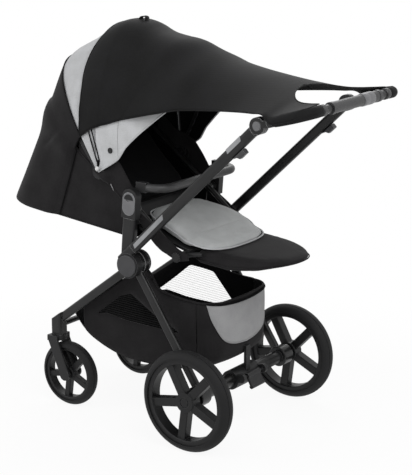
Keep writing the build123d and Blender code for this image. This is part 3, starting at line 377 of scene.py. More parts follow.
def faceAway(piece, middle):
    # turns the faces of an open sheet away from a point in its hollow
    work = bmesh.new()
    work.from_mesh(piece.data)
    bmesh.ops.recalc_face_normals(work, faces=work.faces)
    centre = Vector(mm(*middle))
    facing = sum(f.normal.dot(f.calc_center_median() - centre) * f.calc_area() for f in work.faces)
    if facing < 0:
        bmesh.ops.reverse_faces(work, faces=work.faces)
    work.to_mesh(piece.data)
    work.free()
    return piece


def tidyMesh(piece, merge=0.05):
    work = bmesh.new()
    work.from_mesh(piece.data)
    bmesh.ops.remove_doubles(work, verts=work.verts, dist=merge / 1000)
    bmesh.ops.recalc_face_normals(work, faces=work.faces)
    work.to_mesh(piece.data)
    work.free()
    return piece


def tubeAlong(points, radius, sides=10, closed=False):
    # a round tube along points; radius may vary along it
    line = np.array(points, float)
    count = len(line)
    radii = np.full(count, radius) if np.isscalar(radius) else np.array(radius, float)
    if closed:
        tangent = np.roll(line, -1, 0) - np.roll(line, 1, 0)
    else:
        tangent = np.gradient(line, axis=0)
    tangent /= np.linalg.norm(tangent, axis=1)[:, None]
    across = np.cross(tangent[0], (0.0, 0.0, 1.0))
    if np.linalg.norm(across) < 0.2:
        across = np.cross(tangent[0], (0.0, 1.0, 0.0))
    verts = []
    for p, t, r in zip(line, tangent, radii):
        across = across - t * np.dot(across, t)
        across /= np.linalg.norm(across)
        up = np.cross(t, across)
        for k in range(sides):
            a = 2 * math.pi * k / sides
            verts.append(p + r * (math.cos(a) * across + math.sin(a) * up))
    faces = gridFaces(count, sides, 0, True)
    if closed:
        last = (count - 1) * sides
        faces += [(last + k, last + (k + 1) % sides, (k + 1) % sides, k) for k in range(sides)]
    else:
        faces.append(tuple(range(sides - 1, -1, -1)))
        faces.append(tuple((count - 1) * sides + k for k in range(sides)))
    return verts, faces


def tubePiece(name, points, radius, sides, material, closed=False):
    return newPiece(name, *tubeAlong(points, radius, sides, closed), material)


def joinMeshes(groups):
    verts, faces = [], []
    for points, polys in groups:
        base = len(verts)
        verts += [tuple(p) for p in points]
        faces += [tuple(i + base for i in f) for f in polys]
    return verts, faces


def runLength(line):
    # how far along the line each of its points is
    return np.concatenate([[0], np.cumsum(np.linalg.norm(np.diff(line, axis=0), axis=1))])


def resample(points, count):
    line = np.array(points, float)
    steps = runLength(line)
    at = np.linspace(0, steps[-1], count)
    return np.stack([np.interp(at, steps, line[:, k]) for k in range(line.shape[1])], 1)


def smoothLine(points, count):
    # Catmull-Rom through the points
    p = np.array(points, float)
    p = np.vstack([2 * p[0] - p[1], p, 2 * p[-1] - p[-2]])
    out = []
    for i in range(1, len(p) - 2):
        for t in np.linspace(0, 1, 12, endpoint=False):
            a, b, c, d = p[i - 1], p[i], p[i + 1], p[i + 2]
            out.append(0.5 * (2 * b + (c - a) * t + (2 * a - 5 * b + 4 * c - d) * t * t
                              + (3 * b - a - 3 * c + d) * t ** 3))
    out.append(p[-2])
    return resample(out, count)


# Geometry Nodes: drawn points and lines go in, painted mesh comes out
def newTree(name, inputs):
    tree = bpy.data.node_groups.new(name, "GeometryNodeTree")
    tree.interface.new_socket("Geometry", in_out="INPUT", socket_type="NodeSocketGeometry")
    sockets = [tree.interface.new_socket(label, in_out="INPUT", socket_type="NodeSocket" + kind).identifier
               for label, kind in inputs]
    tree.interface.new_socket("Geometry", in_out="OUTPUT", socket_type="NodeSocketGeometry")
    return tree, sockets, addNode(tree, "NodeGroupInput").outputs


def endTree(tree, made, material):
    real = addNode(tree, "GeometryNodeRealizeInstances", None, {0: made})
    paint = addNode(tree, "GeometryNodeSetMaterial", None, {"Geometry": real.outputs[0], "Material": material})
    addNode(tree, "NodeGroupOutput", None, {0: paint.outputs[0]})


def growPiece(name, points, edges, tree, sockets, values):
    mesh = bpy.data.meshes.new(name)
    mesh.from_pydata(points, edges, [])
    piece = bpy.data.objects.new(name, mesh)
    scene.collection.objects.link(piece)
    grow = piece.modifiers.new("grow", "NODES")
    grow.node_group = tree
    for socket, value in zip(sockets, values):
        grow[socket] = value
    return settle(piece)


def drawnLines(lines):
    verts, edges = [], []
    for line in lines:
        edges += [(len(verts) + i, len(verts) + i + 1) for i in range(len(line) - 1)]
        verts += [mm(*(float(c) for c in p)) for p in line]
    return verts, edges


def stitchTree():
    # small thread loops along an edge line
    tree, sockets, source = newTree("threadStitches", [("Pitch", "Float"), ("Thread", "Float"), ("Yarn", "Material")])
    line = addNode(tree, "GeometryNodeMeshToCurve", None, {0: source["Geometry"]})
    spaced = addNode(tree, "GeometryNodeCurveToPoints", {"mode": "LENGTH"},
                     {"Curve": line.outputs[0], "Length": source["Pitch"]})
    ball = addNode(tree, "GeometryNodeMeshUVSphere", {"Segments": 6, "Rings": 4}, {"Radius": source["Thread"]})
    stretch = addNode(tree, "GeometryNodeTransform", {"Scale": (1.0, 1.0, 3.2)}, {"Geometry": ball.outputs["Mesh"]})
    loops = addNode(tree, "GeometryNodeInstanceOnPoints", None,
                    {"Points": spaced.outputs["Points"], "Instance": stretch.outputs["Geometry"],
                     "Rotation": spaced.outputs["Rotation"]})
    endTree(tree, loops.outputs[0], source["Yarn"])
    return tree, sockets


stitching, stitchSockets = stitchTree()


def stitchLine(name, lines, pitch, thread, yarn):
    values = (pitch / 1000, thread / 1000, finish[yarn])
    piece = growPiece(name, *drawnLines(lines), stitching, stitchSockets, values)
    shadeSmooth(piece.data)
    return piece


# Hood: arches in planes through the hood pivots. angle, share of half width, share of height, squareness.
# The cloth sags between the middle bow at 93 degrees and the front bow at 61.
hood = {
    "pivotY": -173.2, "pivotZ": 733.0, "foot": 4.0, "cloth": 1.6, "halfWidth": 206.0, "height": 415.0,
    "frontBow": 61.0, "bowGap": 212.0,
    # planes where the two cloths end under the middle bow; the rear one lies lower, and is tucked in under the sail
    "rearFrom": 91.5, "frontTo": 92.8, "rearIn": 2.0, "rearTuck": 9.0, "tuckRun": 4.5, "ripple": 0.5,
    "arches": [(32.0, 0.98, 0.940, 0.85), (42.0, 0.98, 0.952, 0.85), (61.0, 1.0, 1.0, 0.85), (66.5, 1.0, 0.966, 0.85),
               (72.0, 1.0, 0.945, 0.85), (78.0, 1.0, 0.940, 0.85), (85.0, 1.0, 0.977, 0.85), (90.5, 1.0, 0.992, 0.85),
               (92.0, 1.0, 0.990, 0.85), (96.0, 0.999, 0.976, 0.85), (102.0, 0.998, 0.943, 0.85),
               (108.0, 0.996, 0.916, 0.865), (114.0, 0.995, 0.909, 0.84), (120.0, 0.993, 0.910, 0.82),
               (125.5, 0.992, 0.903, 0.85), (131.0, 0.990, 0.856, 0.82), (138.0, 0.988, 0.800, 0.75),
               (143.5, 0.985, 0.770, 0.70)],
    # edges: the plane each mostly lies in, then distance from the pivot and angle of the plane
    "frontPlane": 42.0, "rearPlane": 124.0,
    "frontEdge": [(0.0, 30.0), (60.0, 30.6), (87.0, 31.5), (104.0, 36.5), (124.0, 40.0), (140.0, 40.8), (176.0, 41.5),
                  (420.0, 42.0)],
    # the rear edge runs above and below the foot of the black cover
    "rearEdge": [(0.0, 121.5), (116.0, 122.4), (150.0, 132.0), (190.0, 137.5), (420.0, 137.5)],
    # zip, seam and stud in the side view, with their radii
    "zips": [[(-212, 866), (-202.6, 841.8), (-186, 803), (-170.5, 764.9)],
             [(-201, 871), (-191.5, 847.3), (-175, 806), (-161, 764.9)]], "tape": 1.9,
    "slider": [(-165.5, 770), (-165, 762), (-166.5, 753)], "sliderEnds": (4.6, 3.4),
    "pull": [(-167.0, 752.0), (-168.5, 746.0), (-170.0, 739.0)],
    "pullRadii": [1.6, 3.6, 4.9, 5.6, 5.8, 5.6, 4.9, 3.6, 1.6],
    "seam": [(-101, 884), (-101.5, 850), (-101.5, 815), (-101, 788)], "stud": (-126.0, 800.6),
    "studSteps": [(8.2, 0.0), (8.2, 1.2), (7.2, 2.0), (4.4, 2.2), (3.6, 1.6), (0.4, 1.5)],
}
hoodPivot = np.array((0.0, hood["pivotY"], hood["pivotZ"]))


def archSize(angle):
    # the table, smoothed over four degrees
    table = np.array(hood["arches"])
    near = angle + np.linspace(-2, 2, 5)
    wide, high, power = [float(np.mean(np.interp(near, table[:, 0], table[:, k]))) for k in (1, 2, 3)]
    return hood["halfWidth"] * wide, hood["height"] * high, power


def hoodPoint(angle, turn, grow=0.0):
    half, high, power = archSize(angle)
    c, s = headingOf(angle)
    x = math.copysign(abs(math.cos(turn)) ** power, math.cos(turn)) * (half + grow)
    reach = (high + grow) * max(math.sin(turn), 0.0) ** power
    return x, hood["pivotY"] + reach * c, hood["pivotZ"] + reach * s


def archLine(angleAt, grow, foot, count=73):
    # angleAt gives the plane's angle from the place round the arch
    half, high, power = archSize(angleAt(0.1))
    first = math.asin((foot / (high + grow)) ** (1 / power))
    turns = np.linspace(first, math.pi - first, 181)
    return resample([hoodPoint(angleAt(t), t, grow) for t in turns], count)


def hoodSide(y, z, grow=0.0):
    # the hood's half width at a place in the side view
    angle = math.degrees(math.atan2(z - hood["pivotZ"], y - hood["pivotY"]))
    half, high, power = archSize(angle)
    share = min(1.0, math.hypot(y - hood["pivotY"], z - hood["pivotZ"]) / (high + grow))
    return (half + grow) * math.cos(math.asin(share ** (1 / power))) ** power


def edgeAngle(turn, edge, angle):
    # the edge's tables give its angle from the distance to the pivot
    half, high, power = archSize(angle)
    return float(np.interp(high * max(math.sin(turn), 0.0) ** power, *np.array(hood[edge]).T))


def frontAngle(turn):
    return edgeAngle(turn, "frontEdge", hood["frontPlane"])


def rearAngle(turn):
    return edgeAngle(turn, "rearEdge", hood["rearPlane"])


def hoodSheet(name, firstAt, lastAt, rowCount, grow, ripple):
    rows = []
    for f in np.linspace(0, 1, rowCount):
        line = archLine(lambda t: firstAt(t) + (lastAt(t) - firstAt(t)) * f, grow(f), hood["foot"])
        out = line - hoodPivot
        out /= np.linalg.norm(out, axis=1)[:, None]
        rows.append(line + out * np.array([ripple(f, k) for k in np.linspace(0, 1, len(line))])[:, None])
    piece = newPiece(name, np.concatenate(rows), gridFaces(rowCount, len(rows[0])),
                     ["melangePolyesterPale", "wovenPolyesterLining"])
    faceAway(tidyMesh(piece), hoodPivot)
    return rows, thicken(piece, hood["cloth"], lining=True)


def followFront(piece):
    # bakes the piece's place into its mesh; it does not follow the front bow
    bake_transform(piece)


def diskMesh(centre, sign, steps, sides=24):
    # a turned button facing outwards: (radius, height) steps
    verts = []
    for radius, out in steps:
        for a in np.linspace(0, 2 * math.pi, sides, endpoint=False):
            verts.append(np.array(centre) + np.array((sign * out, radius * math.cos(a), radius * math.sin(a))))
    last = (len(steps) - 1) * sides
    return verts, gridFaces(len(steps), sides, 0, True) + [tuple(last + k for k in range(sides))]


def dressHood():
    rows, rear = hoodSheet("hoodRearCloth", lambda t: hood["rearFrom"], rearAngle, 36,
                           lambda f: -hood["rearIn"] - hood["rearTuck"] * max(0.0, 1 - f * hood["tuckRun"]),
                           lambda f, k: hood["ripple"] * math.sin(k * 40 + f * 9))
    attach(rear, "stroller_frame")
    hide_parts("hood_rear_fabric")

    rows, front = hoodSheet("hoodFrontCloth", frontAngle, lambda t: hood["frontTo"], 40, lambda f: 0.0,
                            lambda f, k: hood["ripple"] * math.sin(k * 34 - f * 10))
    followFront(front)
    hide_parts("hood_front_fabric")
    welt = tubePiece("hoodFrontWelt", rows[0], 2.2, 8, "melangePolyesterPale")
    followFront(welt)

    # zip with its slider and pull, sewn seam and press stud on each side
    for sign, sideName in bothSides:
        def onSide(points, count, grow):
            return [(sign * (hoodSide(y, z, 0.8) + grow), y, z) for y, z in smoothLine(points, count)]

        groups = [tubeAlong(onSide(line, 40, 0.2), hood["tape"], 8) for line in hood["zips"]]
        groups.append(tubeAlong(onSide(hood["slider"], 8, 1.5), np.linspace(*hood["sliderEnds"], 8), 10))
        tape = newPiece("hoodZip" + sideName, *joinMeshes(groups), "wovenPolyesterLining")
        sewn = stitchLine("hoodSeam" + sideName, [onSide(hood["seam"], 24, 0.0)], 3.4, 0.6, "melangePolyesterPocket")
        studY, studZ = hood["stud"]
        button = diskMesh((sign * hoodSide(studY, studZ), studY, studZ), sign, hood["studSteps"])
        stud = tidyMesh(newPiece("hoodStud" + sideName, *button, "mouldedNylon"), 0.001)
        grab = tubePiece("zipPull" + sideName, onSide(hood["pull"], 9, 3.4), hood["pullRadii"], 12, "whiteAcetal")
        for piece, slot in ((tape, "black_fabric"), (sewn, "grey_fabric"), (stud, "grey_button"),
                            (grab, "grey_button")):
            followFront(piece)
    print("hood dressed")


dressHood()


# Sun sail: over the hood from its rear edge to the front bow, then stretched to the handle and round its arms
sail = {
    "cloth": 1.6, "gap": 2.6, "openHalf": 175.0, "openDepth": 150.0, "hem": 1.7,
    "barY": 533.8, "barZ": 971.8, "armX": 238.25, "armRise": 0.3, "bend": 42.0, "bendRun": 40.2, "wrap": 17.0,
    # rear edge: turn round the arch in degrees, angle of the plane
    "rear": [(12, 124.0), (20, 115.0), (29, 110.0), (36, 107.5), (44, 106.0), (58, 102.0), (70, 98.5), (90, 97.0)],
    # lower edge in the side view
    "edge": [(-236, 826), (-197, 851), (-144, 872), (-35, 905), (53, 927), (144, 941), (274, 953)],
    # sections ahead of the hood: y, half width, edge height, crown height, roundness
    "stations": [(85, 207, 932, 1073, 0.62), (144, 212, 941, 1051, 0.75), (205, 217, 947, 1037, 0.88),
                 (274, 225, 953, 1024, 1.0), (365, 237, 958, 1007, 1.0), (403, 244, 958, 1001, 1.0)],
    # sections round the arms: y, crown height, how far round the tube in degrees
    "wraps": [(432, 998, 95), (462, 996, 112), (493, 995, 114), (510, 994, 108), (521, 994, 95), (530, 993, 75)],
    # planes over the hood from the middle bow forward, the station where the last part begins, rows of the three parts
    "middleBow": 92.0, "planes": (88.0, 84.0, 80.0, 76.0, 72.0, 68.0, 64.0), "splitY": 274, "rows": (44, 26, 40),
    # a distance ahead of the front bow, given for the middle part; the sail's parts are not moved by it
    "spanRun": 245,
}
sailColumns, sailHalf = 81, 37
# sleeves over the handle's bends: along the arm before the bend, along the bar after it, the arm's slope, radii
sleeves = {"arm": (-112.0, -90.0, -66.0), "bar": (184.0, 172.0), "slope": (0.958, 0.287),
           "radii": [13.6, 14.6, 15.6] + [16.2] * 10 + [16.0, 15.2]}
# folded pull tab on the middle bow
pullTab = {"angle": 88.2, "loop": ((0, -8, -1), (0, -5, 6), (0, 4, 9), (0, 14, 6), (0, 14, -3)), "half": 9.0,
           "cloth": 1.4}


def sailArch(angleAt):
    # the arch is cut where it meets the lower edge
    table = np.array(sail["edge"], float)
    grow = sail["gap"] + sail["cloth"]
    turns = np.radians(np.linspace(4, 90, 173))
    line = np.array([hoodPoint(angleAt(math.degrees(t)), t, grow) for t in turns])
    line = line[line[:, 2] >= np.interp(line[:, 1], table[:, 0], table[:, 1])]
    return resample(np.vstack([line, (line * (-1, 1, 1))[-2::-1]]), sailColumns)


def sailStation(y, half, edge, crown, roundness):
    line = [(-half * u, y, edge + (crown - edge) * (1 - u * u) ** roundness) for u in np.linspace(-1, 1, 241)]
    return resample(line, sailColumns)


def sailWrap(y, crown, degrees):
    # flat to the arm, then round it
    turn = min(1.0, max(0.0, (y - sail["barY"] + sail["bendRun"]) / sail["bendRun"]))
    armX = sail["armX"] - sail["bend"] * (1 - math.sqrt(1 - turn * turn))
    armZ = sail["barZ"] - (sail["barY"] - y) * sail["armRise"]
    first = 12.0
    c, s = headingOf(90 - first)
    topX, topZ = armX + sail["wrap"] * c, armZ + sail["wrap"] * s
    half = [(topX * u, y, topZ + (crown - topZ) * (1 - u * u)) for u in np.linspace(0, 1, 61)]
    for a in np.linspace(first, degrees, 14)[1:]:
        c, s = headingOf(90 - a)
        half.append((armX + sail["wrap"] * c, y, armZ + sail["wrap"] * s))
    half = np.array(half)
    return resample(np.vstack([half[::-1], (half * (-1, 1, 1))[1:]]), sailColumns)


def sailRows():
    turns, angles = np.array(sail["rear"], float).T
    middle = sail["middleBow"]
    keys = []
    for f in (1.0, 0.7, 0.35, 0.0):
        keys.append(sailArch(lambda t: middle + f * (float(np.interp(t, turns, angles)) - middle)))
    keys += [sailArch(lambda t: a) for a in sail["planes"] + (hood["frontBow"],)]
    bowKey = len(keys) - 1
    keys += [sailStation(*station) for station in sail["stations"]]
    keys += [sailWrap(*wrap) for wrap in sail["wraps"]]
    keys = np.array(keys)
    way = runLength(keys[:, sailColumns // 2])
    slopes = np.gradient(keys, way, axis=0)
    # rows land on the front bow and on the split
    splitKey = bowKey + 1 + [s[0] for s in sail["stations"]].index(sail["splitY"])
    rows, marks = [], []
    ends = (0, bowKey, splitKey, len(keys) - 1)
    for first, last, count in zip(ends, ends[1:], sail["rows"]):
        for at in np.linspace(way[first], way[last], count)[0 if first == 0 else 1:]:
            i = int(np.clip(np.searchsorted(way, at) - 1, 0, len(way) - 2))
            gap = way[i + 1] - way[i]
            t = (at - way[i]) / gap
            rows.append((2 * t ** 3 - 3 * t * t + 1) * keys[i] + (t ** 3 - 2 * t * t + t) * gap * slopes[i]
                        + (3 * t * t - 2 * t ** 3) * keys[i + 1] + (t ** 3 - t * t) * gap * slopes[i + 1])
        marks.append(len(rows) - 1)
    return np.array(rows), marks


def openShare(row):
    # how far from the middle the grip opening reaches in this row, as a share of the half section
    middle = sailColumns // 2
    depth = (sail["barY"] - row[middle][1]) / sail["openDepth"]
    if depth >= 1:
        return 0.0
    reach = sail["openHalf"] * math.sqrt(1 - depth * depth)
    half = np.abs(row[middle:, 0])
    return float(np.interp(reach, np.maximum.accumulate(half), np.linspace(0, 1, len(half))))


def sailHalfRow(row, sign):
    middle = sailColumns // 2
    half = row[middle::-1] if sign * row[0][0] > 0 else row[middle:]
    at = np.linspace(openShare(row), 1, sailHalf) * middle
    return np.stack([np.interp(at, np.arange(middle + 1), half[:, k]) for k in range(3)], 1)


def joinKey(point, steps):
    # a place as whole steps, so that points of neighbouring parts find each other
    return tuple(np.round(np.array(point) * steps).astype(int))


def sailSheet(name, rows, normals):
    # normals are kept along the ends where this part joins the next, so that no line shows there
    verts, faces = [], []
    for sign in (1, -1):
        base = len(verts)
        for row in rows:
            verts += list(sailHalfRow(row, sign))
        faces += gridFaces(len(rows), sailHalf, base)
    piece = newPiece(name, verts, faces, ["elastaneJersey", "wovenPolyesterLining"])
    thicken(faceAway(tidyMesh(piece, 0.02), (0, 0, 500)), sail["cloth"], lining=True)
    given = [normals.get(joinKey(v.co, 5000), (0.0, 0.0, 0.0)) for v in piece.data.vertices]
    piece.data.normals_split_custom_set_from_vertices(given)
    return piece


def joinNormals(rows, joints):
    # outward normals of the whole sail at the rows where its parts meet
    found = {}
    for sign in (1, -1):
        grid = np.array([sailHalfRow(row, sign) for row in rows])
        out = np.cross(np.gradient(grid, axis=0), np.gradient(grid, axis=1))
        out /= np.linalg.norm(out, axis=2)[:, :, None]
        if out[joints[0], 0, 2] < 0:
            out = -out
        for joint in joints:
            for point, normal in zip(grid[joint], out[joint]):
                found[joinKey(point, 5)] = tuple(float(v) for v in normal)
    return found


def dressSail():
    rows, (bowRow, splitRow, lastRow) = sailRows()
    c, s = headingOf(hood["frontBow"])
    ahead = np.array((0.0, s, -c))
    spans = {
        "OverHood": (0, bowRow, "stroller_frame", "hood_front", hoodPivot - ahead * hood["bowGap"], hoodPivot),
        "Span": (bowRow, splitRow, "hood_front", "stroller_frame", hoodPivot, hoodPivot + ahead * sail["spanRun"]),
        "ToHandle": (splitRow, lastRow, "stroller_frame", "handle", (0, 280, 960), (0, 430, 960)),
    }
    normals = joinNormals(rows, (bowRow, splitRow))
    for part, (first, last, bodyA, bodyB, start, end) in spans.items():
        piece = sailSheet("sail" + part, rows[first:last + 1], normals)
        groups = [tubeAlong([r[k] for r in rows[first:last + 1]], sail["hem"], 8) for k in (0, sailColumns - 1)]
        if first == 0:
            groups.append(tubeAlong(rows[0], sail["hem"], 8))
        if last == lastRow:
            opened = [r for r in rows if openShare(r) > 0]
            loop = [sailHalfRow(r, 1)[0] for r in reversed(opened)] + [sailHalfRow(r, -1)[0] for r in opened]
            groups.append(tubeAlong(loop, sail["hem"], 8))
        hem = newPiece("sailHem" + part, *joinMeshes(groups), "elastaneJersey")
        for item in (piece, hem):
            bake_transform(item)
        if first == 0:
            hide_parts("sun_sail")

    # sleeves pull the sail's corners over the handle's bends
    for sign, sideName in bothSides:
        corner = []
        for t in np.linspace(0, 90, 10):
            ct, st = headingOf(t)
            corner.append((sail["armX"] - sail["bend"] * (1 - ct), sail["bend"] * (st - 1)))
        run = [(sail["armX"], back) for back in sleeves["arm"]] + corner + [(x, 0.0) for x in sleeves["bar"]]
        c, s = sleeves["slope"]
        line = [(sign * x, sail["barY"] + back * c, sail["barZ"] + back * s) for x, back in run]
        sleeve = tubePiece("sailPocket" + sideName, line, sleeves["radii"], 18, "elastaneJersey")
        soft = sleeve.modifiers.new("soft", "SUBSURF")
        soft.levels = soft.render_levels = 1
        settle(sleeve)
        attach(sleeve, "handle")

    top = np.array(hoodPoint(pullTab["angle"], math.pi / 2, sail["gap"] + sail["cloth"]))
    loop = smoothLine([top + np.array(p) for p in pullTab["loop"]], 20)
    verts = [p + np.array((x, 0, 0)) for p in loop for x in (-pullTab["half"], pullTab["half"])]
    tab = thicken(newPiece("sailTab", verts, gridFaces(20, 2), "wovenPolyesterBlack"), pullTab["cloth"], 0.0)
    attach(tab, "stroller_frame")
    print("sail dressed")


dressSail()


# Seat tub: cloth between the sloping rim and the floor, wings beside the seat, and a cover round the head end
tub = {
    "frontY": -66.2, "floorFront": 553.0, "floorDir": (-0.9941, 0.1089), "floorRun": 486.9, "lowWidth": 352.0,
    "lowCorner": 110.0, "rimFront": 638.5, "rimDir": (-0.788, 0.6157), "rimRun": 435.8, "rimWidth": 376.0,
    "rimCorner": 150.0, "cloth": 3.0, "inset": 1.2, "hollow": 2.4,
    # heights over the floor's and the rim's front between which the width changes
    "floorOver": 50, "rimOver": 160,
}
cover = {
    # front edge as an angle of the hood's planes, at the sides and in the middle, and the rear arch it hangs from
    "sideAngle": 122.3, "crownAngle": 126.0, "rearAngle": 143.5, "footTop": 113.0, "footRear": 101.0, "bottomY": -337.0,
    "proud": 2.6, "cloth": 1.8, "crease": ((-383.0, 795.0), (-316.0, 834.0)), "creaseDepth": 6.0,
    "creaseWide": 6, "ripple": 1.5, "upperPuff": 9.0, "lowerPuff": 11.0, "tuckShare": 0.07, "hem": 1.2,
    # ridge beside the crease: height, distance, width; puffs: where down the cover, how wide
    "ridge": (3.0, 15, 10), "upperAt": (0.1, 0.13), "lowerAt": (0.35, 0.6),
}
wing = {
    "x": 187.0, "cloth": 1.6, "bulge": 1.6, "ripple": 0.5,
    "low": [(-250, 780), (-173, 722), (-110, 672), (-66, 640), (-46, 622)],
    "high": [(-250, 850), (-214, 824), (-185, 800), (-150, 790), (-114.5, 772), (-91.4, 745), (-74.6, 721), (-60, 699),
             (-46, 684)],
    # bar tack; how far from the hinge, and up to what height over its middle, the cloth is lifted over it
    "tack": [(-137.8, 701.7), (-126.2, 683.9)], "lift": (24.0, 46.0), "liftBelow": (2, 16),
}
seatSide = {
    "x": 183.4, "cloth": 1.8, "bulge": 1.6, "ripple": 0.5,
    "low": [(-66, 640), (-40, 604), (2, 557), (32, 533), (52, 525), (80, 514), (104, 512), (128, 517)],
    "high": [(-66, 654), (-40, 634), (2, 606), (32, 584), (60, 566), (88, 549), (108, 540), (128, 533)],
}


def tubOutline(width, run, corner, count):
    half = width / 2
    line = [(half, 0.0), (half, run - corner)]
    for t in np.linspace(0, 90, 14)[1:]:
        c, s = headingOf(t)
        line.append((half - corner + corner * c, run - corner + corner * s))
    line += [(-x, l) for x, l in reversed(line)]
    return resample(line, count)


def tubPoint(outline, direction, y, z):
    return np.array([(x, y + l * direction[0], z + l * direction[1]) for x, l in outline])


def tubFloorLine(grow, count):
    line = tubOutline(tub["lowWidth"] + 2 * grow, tub["floorRun"] + grow, tub["lowCorner"] + grow, count)
    return tubPoint(line, tub["floorDir"], tub["frontY"], tub["floorFront"])


def tubHalf(z):
    heights = [tub["floorFront"] + tub["floorOver"], tub["rimFront"] + tub["rimOver"]]
    return float(np.interp(z, heights, [tub["lowWidth"] / 2, tub["rimWidth"] / 2]))


def outOf(line, across):
    # unit normals of a band round the head end, pointing out of it
    out = np.cross(np.gradient(line, axis=0), across)
    out /= np.linalg.norm(out, axis=1)[:, None]
    return -out if out[len(line) // 2][1] > 0 else out


def dressTub():
    count, rows = 121, 22
    inset = tub["inset"]
    low = tubFloorLine(-inset, count)
    high = tubPoint(tubOutline(tub["rimWidth"] - 2 * inset, tub["rimRun"] - inset, tub["rimCorner"], count),
                    tub["rimDir"], tub["frontY"], tub["rimFront"])
    grid = []
    for v in np.linspace(0, 1, rows):
        line = low + (high - low) * v
        # shallow hollows between the sewn edges
        push = -tub["hollow"] * math.sin(math.pi * v) * (0.5 + 0.5 * np.sin(np.arange(count) * 0.31 + v * 2.2))
        grid.append(line + outOf(line, high - low) * push[:, None])
    half, across = count // 2, 17
    floor = []
    for k in range(half + 1):
        a, b = grid[0][k], grid[0][count - 1 - k]
        floor += [a + (b - a) * u for u in np.linspace(0, 1, across)]
    verts, faces = joinMeshes([(np.concatenate(grid), gridFaces(rows, count)), (floor, gridFaces(half + 1, across))])
    shell = tidyMesh(newPiece("tubShell", verts, faces, ["wovenPolyesterBlack", "wovenPolyesterLining"]), 0.3)
    thicken(faceAway(shell, (0, -300, 760)), tub["cloth"], lining=True)
    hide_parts("seat_tub")
    pieces = [shell]
    for name, line, radius in (("tubRimBinding", grid[-1], 3.0), ("tubFloorWelt", grid[0], 2.2)):
        pieces.append(tubePiece(name, line, radius, 8, "wovenPolyesterBlack"))

    # wings beside the seat and side cloths down to the leg rest pivots
    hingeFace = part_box("hood_hinges")[1][0] * 1000 + 1.6
    for panel, name in ((wing, "seatWing"), (seatSide, "seatSideCloth")):
        low, high = smoothLine(panel["low"], 40), smoothLine(panel["high"], 40)
        for sign, sideName in bothSides:
            verts = []
            for v in np.linspace(0, 1, 12):
                for k, (y, z) in enumerate(low + (high - low) * v):
                    x = panel["x"] + panel["bulge"] * math.sin(math.pi * v) + panel["ripple"] * math.sin(k * 0.45)
                    away = math.hypot(y - hood["pivotY"], z - hood["pivotZ"])
                    lift = float(np.interp(away, wing["lift"], (1, 0))
                                 * np.interp(z - hood["pivotZ"], wing["liftBelow"], (1, 0)))
                    verts.append((sign * (x + max(0.0, hingeFace - x) * lift * lift * (3 - 2 * lift)), y, z))
            sheet = newPiece(name + sideName, verts, gridFaces(12, 40), "wovenPolyesterBlack")
            pieces.append(thicken(faceAway(tidyMesh(sheet, 0.01), (0, -100, 700)), panel["cloth"]))
    for sign, sideName in bothSides:
        line = [(sign * (wing["x"] + 1.8), y, z) for y, z in resample(wing["tack"], 6)]
        pieces.append(tubePiece("wingTack" + sideName, line, 1.1, 8, "melangePolyesterPocket"))
    for piece in pieces:
        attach(piece, "stroller_frame")
    print("tub dressed")


def coverRows():
    count, rows = 97, []

    def firstAngle(turn):
        return cover["sideAngle"] + (cover["crownAngle"] - cover["sideAngle"]) * max(math.sin(turn), 0.0) ** 1.6

    for f in np.linspace(0, 1, 10):
        foot = cover["footTop"] + (cover["footRear"] - cover["footTop"]) * f
        rows.append(archLine(lambda t: firstAngle(t) + (cover["rearAngle"] - firstAngle(t)) * f, 1.0 - 0.6 * f, foot,
                             count))
    bottom = tubFloorLine(cover["proud"], 241)
    bottom = resample(bottom[bottom[:, 1] < cover["bottomY"]], count)
    top = rows[-1]
    (c0, d0), (c1, d1) = cover["crease"]
    run = math.hypot(c1 - c0, d1 - d0)
    # both ends are drawn in to the tub
    edge = np.minimum(np.arange(count), count - 1 - np.arange(count)) / (count - 1) / cover["tuckShare"]
    tuck = np.clip(1 - edge, 0, 1) ** 2
    ridge, ridgeOff, ridgeWide = cover["ridge"]
    upper, upperWide = cover["upperAt"]
    lower, lowerWide = cover["lowerAt"]
    for v in np.linspace(0, 1, 26)[1:]:
        line = top + (bottom - top) * v
        along = ((line[:, 1] - c0) * (c1 - c0) + (line[:, 2] - d0) * (d1 - d0)) / run ** 2
        off = ((line[:, 1] - c0) * (d1 - d0) - (line[:, 2] - d0) * (c1 - c0)) / run
        near = np.where((along > -0.3) & (along < 1.2), np.sin(np.pi * np.clip((along + 0.3) / 1.5, 0, 1)), 0.0)
        push = near * (-cover["creaseDepth"] * np.exp(-(off / cover["creaseWide"]) ** 2)
                       + ridge * np.exp(-((off - ridgeOff) / ridgeWide) ** 2))
        push += cover["ripple"] * math.sin(math.pi * v) * np.sin(np.arange(count) * 0.26 + 3 * v)
        push += cover["upperPuff"] * math.exp(-((v - upper) / upperWide) ** 2)
        push += cover["lowerPuff"] * min(1.0, max(0.0, (v - lower) / lowerWide)) * (1 - tuck)
        line = line + outOf(line, bottom - top) * push[:, None]
        for k in range(count):
            x = math.copysign(tubHalf(line[k][2]) + cover["proud"], line[k][0])
            line[k][0] += (x - line[k][0]) * tuck[k]
        rows.append(line)
    return rows


def dressCover():
    rows = coverRows()
    sheet = newPiece("headCover", np.concatenate(rows), gridFaces(len(rows), len(rows[0])),
                     ["wovenPolyesterBlack", "wovenPolyesterLining"])
    thicken(faceAway(tidyMesh(sheet), (0, -250, 740)), cover["cloth"], lining=True)
    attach(sheet, "stroller_frame")
    edges = [rows[0]] + [[r[k] for r in rows] for k in (0, len(rows[0]) - 1)]
    groups = [tubeAlong(edge, cover["hem"], 8) for edge in edges]
    hem = newPiece("headCoverHem", *joinMeshes(groups), "wovenPolyesterLining")
    inside = stitchLine("headCoverStitches", [[r[k] for r in rows[9:]] for k in (3, len(rows[0]) - 4)], 5.0, 0.4,
                        "wovenPolyesterLining")
    for piece in (hem, inside):
        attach(piece, "stroller_frame")


dressTub()
dressCover()


